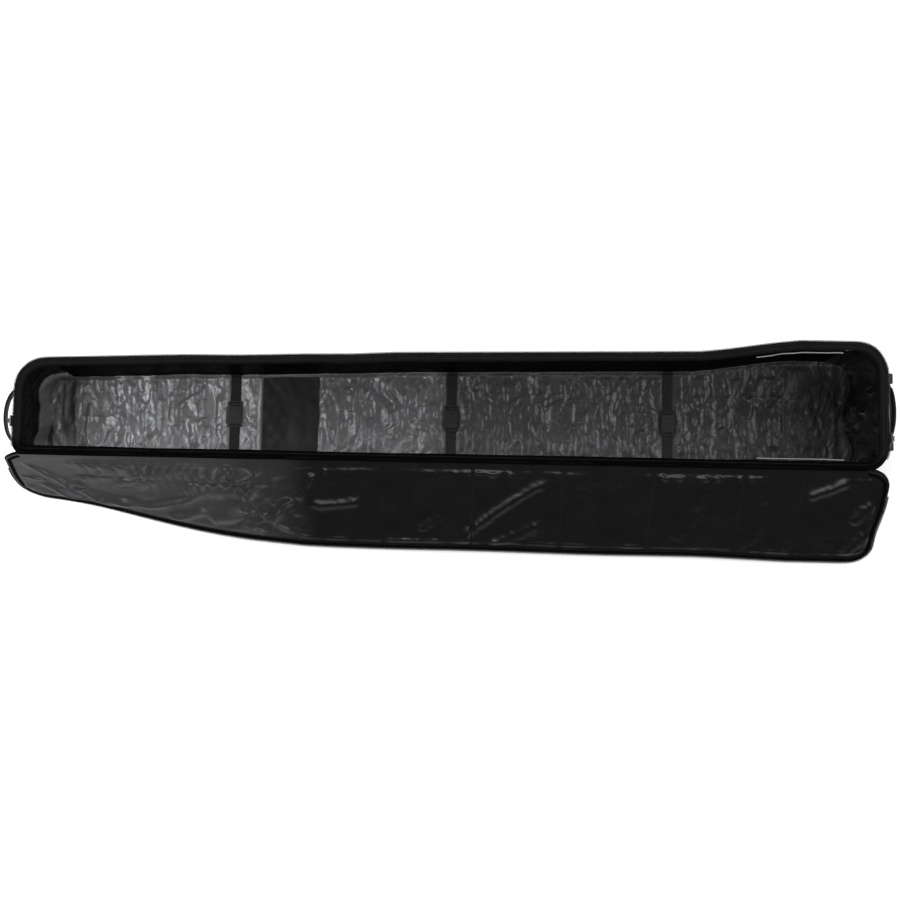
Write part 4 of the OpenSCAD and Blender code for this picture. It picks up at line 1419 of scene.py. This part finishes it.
def make_end_handles():
    for node, end, body in (("nose_handle", -1, "nose_grab"), ("boot_handle_webbing", 1, "boot_grab")):
        low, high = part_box(node)
        middle = (low.y + high.y) / 2
        spread = (high.y - low.y) / 2 - 0.0055
        reach = BOOT_REACH if end > 0 else -low.x - HALF - 0.002
        path = end_loop(end, middle, spread, reach)
        thick = 0.0038 if end < 0 else 0.003
        width = (high.z - low.z) * 0.96
        share = np.abs(path[:, 0]) - HALF
        narrow = np.minimum(1.0, 0.55 + share / 0.03)
        section = np.stack([webbing_section(thick, width * k) for k in narrow])
        loop = sweep(node + "_web", path, section)
        dress(loop, "webbing", body, (node,))
        rows = []
        offset = tangents(path)
        outward = np.stack([offset[:, 1], -offset[:, 0], 0 * offset[:, 0]], -1) * (1 if end > 0 else -1)
        for height in (-0.011, 0.011):
            for face in (-1, 1):
                row = path + outward * face * (thick / 2 + 0.0002) + np.array([0, 0, height])
                rows.append(row[8:-8])
        stitches(node + "_stitching", rows, body)


def make_boot_grip():
    """The padded wrap on the boot handle, swelling towards its middle."""
    low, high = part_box("boot_handle_grip")
    node_low, node_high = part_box("boot_handle_webbing")
    middle = (node_low.y + node_high.y) / 2
    spread = (node_high.y - node_low.y) / 2 - 0.0055
    path = end_loop(1, middle, spread, BOOT_REACH, 160)
    keep = np.abs(path[:, 1] - middle) < (high.y - low.y) / 2
    path = path[keep]
    share = np.linspace(0, 1, len(path))
    swell = 0.80 + 0.20 * np.sin(math.pi * share) ** 0.5
    swell = swell * (1 + 0.02 * noise(share * 22, 0.5, 150))
    section = np.stack([oval(0.0112 * k, (high.z - low.z) * 0.94 * k, 28, 2.8) for k in swell])
    grip = sweep("boot_grip_wrap", path, section)
    dress(grip, "outer", "boot_grab", ("boot_handle_grip",))


def wall_patch(node, mask, low, high, thick=0.0024):
    """A square of webbing sewn to the wall over the given height, and its rows of stitches."""
    base, normal, _ = ring_path(6000)
    keep = np.flatnonzero(mask(base[:, 0], base[:, 1]))
    base, normal = resample(base[keep], 36), resample(normal[keep], 36)
    heights = np.linspace(low, high, 36)
    run = lengths(base)
    rim = np.minimum(np.minimum(run, run[-1] - run)[:, None],
                     np.minimum(heights - low, high - heights)[None, :])
    puff = thick * (0.45 + 0.55 * smooth(rim, 0, 0.0022))
    puff = puff + 0.0002 * noise(run[:, None] * 90, heights[None, :] * 90, 160)
    puff[[0, -1]] = -0.0004
    puff[:, [0, -1]] = -0.0004
    points = np.concatenate([base[:, None] + normal[:, None] * puff[..., None],
                             np.broadcast_to(heights[None, :, None], (36, 36, 1))], -1)
    patch = grid(node + "_web", points, (run, heights - low))
    inset = 0.0035
    far, above = run[-1] - inset, high - low - inset
    square = [(inset, inset), (far, inset), (far, above), (inset, above)]
    rows = []
    for a, b in [(0, 1), (1, 2), (2, 3), (3, 0), (0, 2), (1, 3)]:
        share = np.linspace(0, 1, 40)
        along = square[a][0] + (square[b][0] - square[a][0]) * share
        level = low + square[a][1] + (square[b][1] - square[a][1]) * share
        over = base + normal * (thick + 0.0003)
        place = np.stack([np.interp(along, run, over[:, k]) for k in (0, 1)], -1)
        rows.append(np.column_stack([place, level]))
    return patch, rows


def make_patches():
    """Webbing patches where handles are sewn on, each with a boxed cross of stitches."""
    for node, level in (("nose_handle_patches", 0), ("boot_handle_patches", 0), ("back_handle_patches", 1),
                        ("front_handle_patches", 1)):
        low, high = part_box(node)
        size = PATCH_SIZE
        patches, rows = [], []
        for start in ((low.x, high.x - size) if level else (low.y, high.y - size)):
            def mask(x, y):
                if level:
                    return (x > start) & (x < start + size) & (y * low.y > 0) & (abs(y) > 0.09)
                return (y > start) & (y < start + size) & (x * low.x > 0) & (abs(x) > 0.9)
            patch, patch_rows = wall_patch(node, mask, low.z, high.z)
            patches.append(patch)
            rows += patch_rows
        both = join_meshes(node + "_sewn", patches)
        dress(both, "webbing", "tub", (node,))
        stitches(node + "_stitching", rows, "tub")


def make_lash_loops():
    """Two loops of flat webbing beside the boot handle, each sewn down on a patch."""
    low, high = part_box("lash_loops")
    width = LOOP_WIDTH
    middle_z = (low.z + high.z) / 2
    pieces, rows = [], []
    for middle_y in (low.y + LOOP_WIDTH / 2 + 0.003, high.y - LOOP_WIDTH / 2 - 0.003):
        a = np.radians(np.linspace(84, -84, 40))
        reach = high.x - HALF - 0.0012
        x = np.concatenate([[0.0018, 0.004, 0.008], reach * np.cos(a) ** 0.55, [0.008, 0.004, 0.0018]])
        z = np.concatenate([[0.0155, 0.0135, 0.0125], 0.0115 * np.sin(a), [-0.0125, -0.0135, -0.0155]])
        path = resample(np.stack([HALF + x, np.full(len(x), middle_y), middle_z + z], -1), 90)
        for _ in range(3):
            path[1:-1] = 0.5 * path[1:-1] + 0.25 * (path[:-2] + path[2:])
        pieces.append(sweep("lash_loop", path, webbing_section(width, 0.0019), up=handle_up(path)))

        def mask(x, y):
            return (y > middle_y - width / 2 - 0.003) & (y < middle_y + width / 2 + 0.003) & (x > 0.9)
        patch, patch_rows = wall_patch("lash_loop", mask, low.z, high.z, 0.0022)
        pieces.append(patch)
        rows += patch_rows
    both = join_meshes("lash_loops_web", pieces)
    dress(both, "webbing", "tub", ("lash_loops",))
    stitches("lash_loop_stitching", rows, "tub")


def make_carry_handles():
    for node, body in (("back_handle", "back_carry"), ("front_handle", "front_carry")):
        low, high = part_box(node)
        y = (low.y + high.y) / 2
        half = (high.x - low.x) / 2
        drop = high.z - low.z
        a = np.radians(np.linspace(0, 180, 60))
        top = high.z - 0.003
        x = -half * np.cos(a) * 0.80
        z = top - (drop - 0.018) * np.sin(a) ** 0.62
        path = np.stack([x, np.full(60, y), z], -1)
        path = resample(path, 110)
        for _ in range(4):
            path[1:-1] = 0.5 * path[1:-1] + 0.25 * (path[:-2] + path[2:])
        loop = sweep(node + "_web", path, webbing_section(0.0028, 0.026), up=handle_up(path))
        dress(loop, "webbing", body, (node,))
    low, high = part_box("back_handle_grip")
    xs = np.linspace(low.x, high.x, 60)
    share = np.linspace(0, 1, 60)
    swell = 0.86 + 0.14 * np.sin(math.pi * share) ** 0.5
    path = np.stack([xs, np.full(60, (low.y + high.y) / 2), np.full(60, (low.z + high.z) / 2 - 0.002)], -1)
    section = np.stack([oval((high.y - low.y) * k, (high.z - low.z) * 0.94 * k, 28, 2.8) for k in swell])
    grip = sweep("back_grip_wrap", path, section)
    dress(grip, "outer", "back_carry", ("back_handle_grip",))


def handle_up(path):
    """For a loop in an XZ plane: the webbing's width lies in that plane, across the path."""
    forward = tangents(path)
    return np.cross(np.array([0, 1.0, 0]), forward)


def keep_cad(nodes, material):
    """CAD nodes whose shape is right keep it, with a better material."""
    for node in nodes:
        piece = frame["nodes"][node]
        piece.data.materials.clear()
        piece.data.materials.append(MATERIALS[material])


# ---------------------------------------------------------------------------------------------
# Studio
# ---------------------------------------------------------------------------------------------

def area_light(name, place, target, size, power):
    data = bpy.data.lights.new(name, "AREA")
    data.shape = "RECTANGLE"
    data.size, data.size_y = size
    data.energy = power
    light = bpy.data.objects.new(name, data)
    bpy.context.scene.collection.objects.link(light)
    light.location = place
    direction = Vector(target) - Vector(place)
    light.rotation_euler = direction.to_track_quat("-Z", "Y").to_euler()


def make_studio():
    mesh = bpy.data.meshes.new("studio_floor")
    reach = 30.0
    mesh.from_pydata([(-reach, -reach, 0), (reach, -reach, 0), (reach, reach, 0), (-reach, reach, 0)], [],
                     [(0, 1, 2, 3)])
    floor = bpy.data.objects.new("studio_floor", mesh)
    bpy.context.scene.collection.objects.link(floor)
    mesh.materials.append(MATERIALS["floor"])
    world = bpy.data.worlds.new("studio")
    bpy.context.scene.world = world
    world.use_nodes = True
    sky = world.node_tree.nodes["Background"]
    sky.inputs["Color"].default_value = (1, 1, 1, 1)
    sky.inputs["Strength"].default_value = 0.34
    area_light("front_key", (0.4, -3.4, 2.7), (0.1, -0.2, 0.1), (3.6, 0.8), 130)
    area_light("back_key", (-1.0, 2.9, 3.2), (0, 0, 0.1), (3.4, 1.2), 170)
    area_light("nose_fill", (-2.9, -0.4, 2.9), (-0.6, -0.1, 0.1), (0.8, 1.6), 98)
    area_light("boot_fill", (3.4, 0.3, 2.4), (-0.6, 0, 0.1), (1.2, 2.0), 100)
    bpy.context.scene.view_settings.view_transform = "Standard"


# ---------------------------------------------------------------------------------------------
# The bag
# ---------------------------------------------------------------------------------------------

make_camera()
make_outer_walls()
make_base()
make_floor_lining()
make_wall_linings()
make_label()
make_rim()
make_rim_teeth()
make_hinge_roll()
make_edge_strips()
make_lid_inside()
make_lid_pad()
make_lid_edges()
make_straps()
make_end_handles()
make_boot_grip()
make_carry_handles()
make_patches()
keep_cad([n for n in frame["nodes"] if n.startswith("buckle")], "plastic")
keep_cad(["slider_nose", "slider_boot", "zip_stops"], "metal")
keep_cad(["pull_nose", "pull_boot"], "rubber")
make_lash_loops()
keep_cad(["base_board"], "plastic")
make_studio()
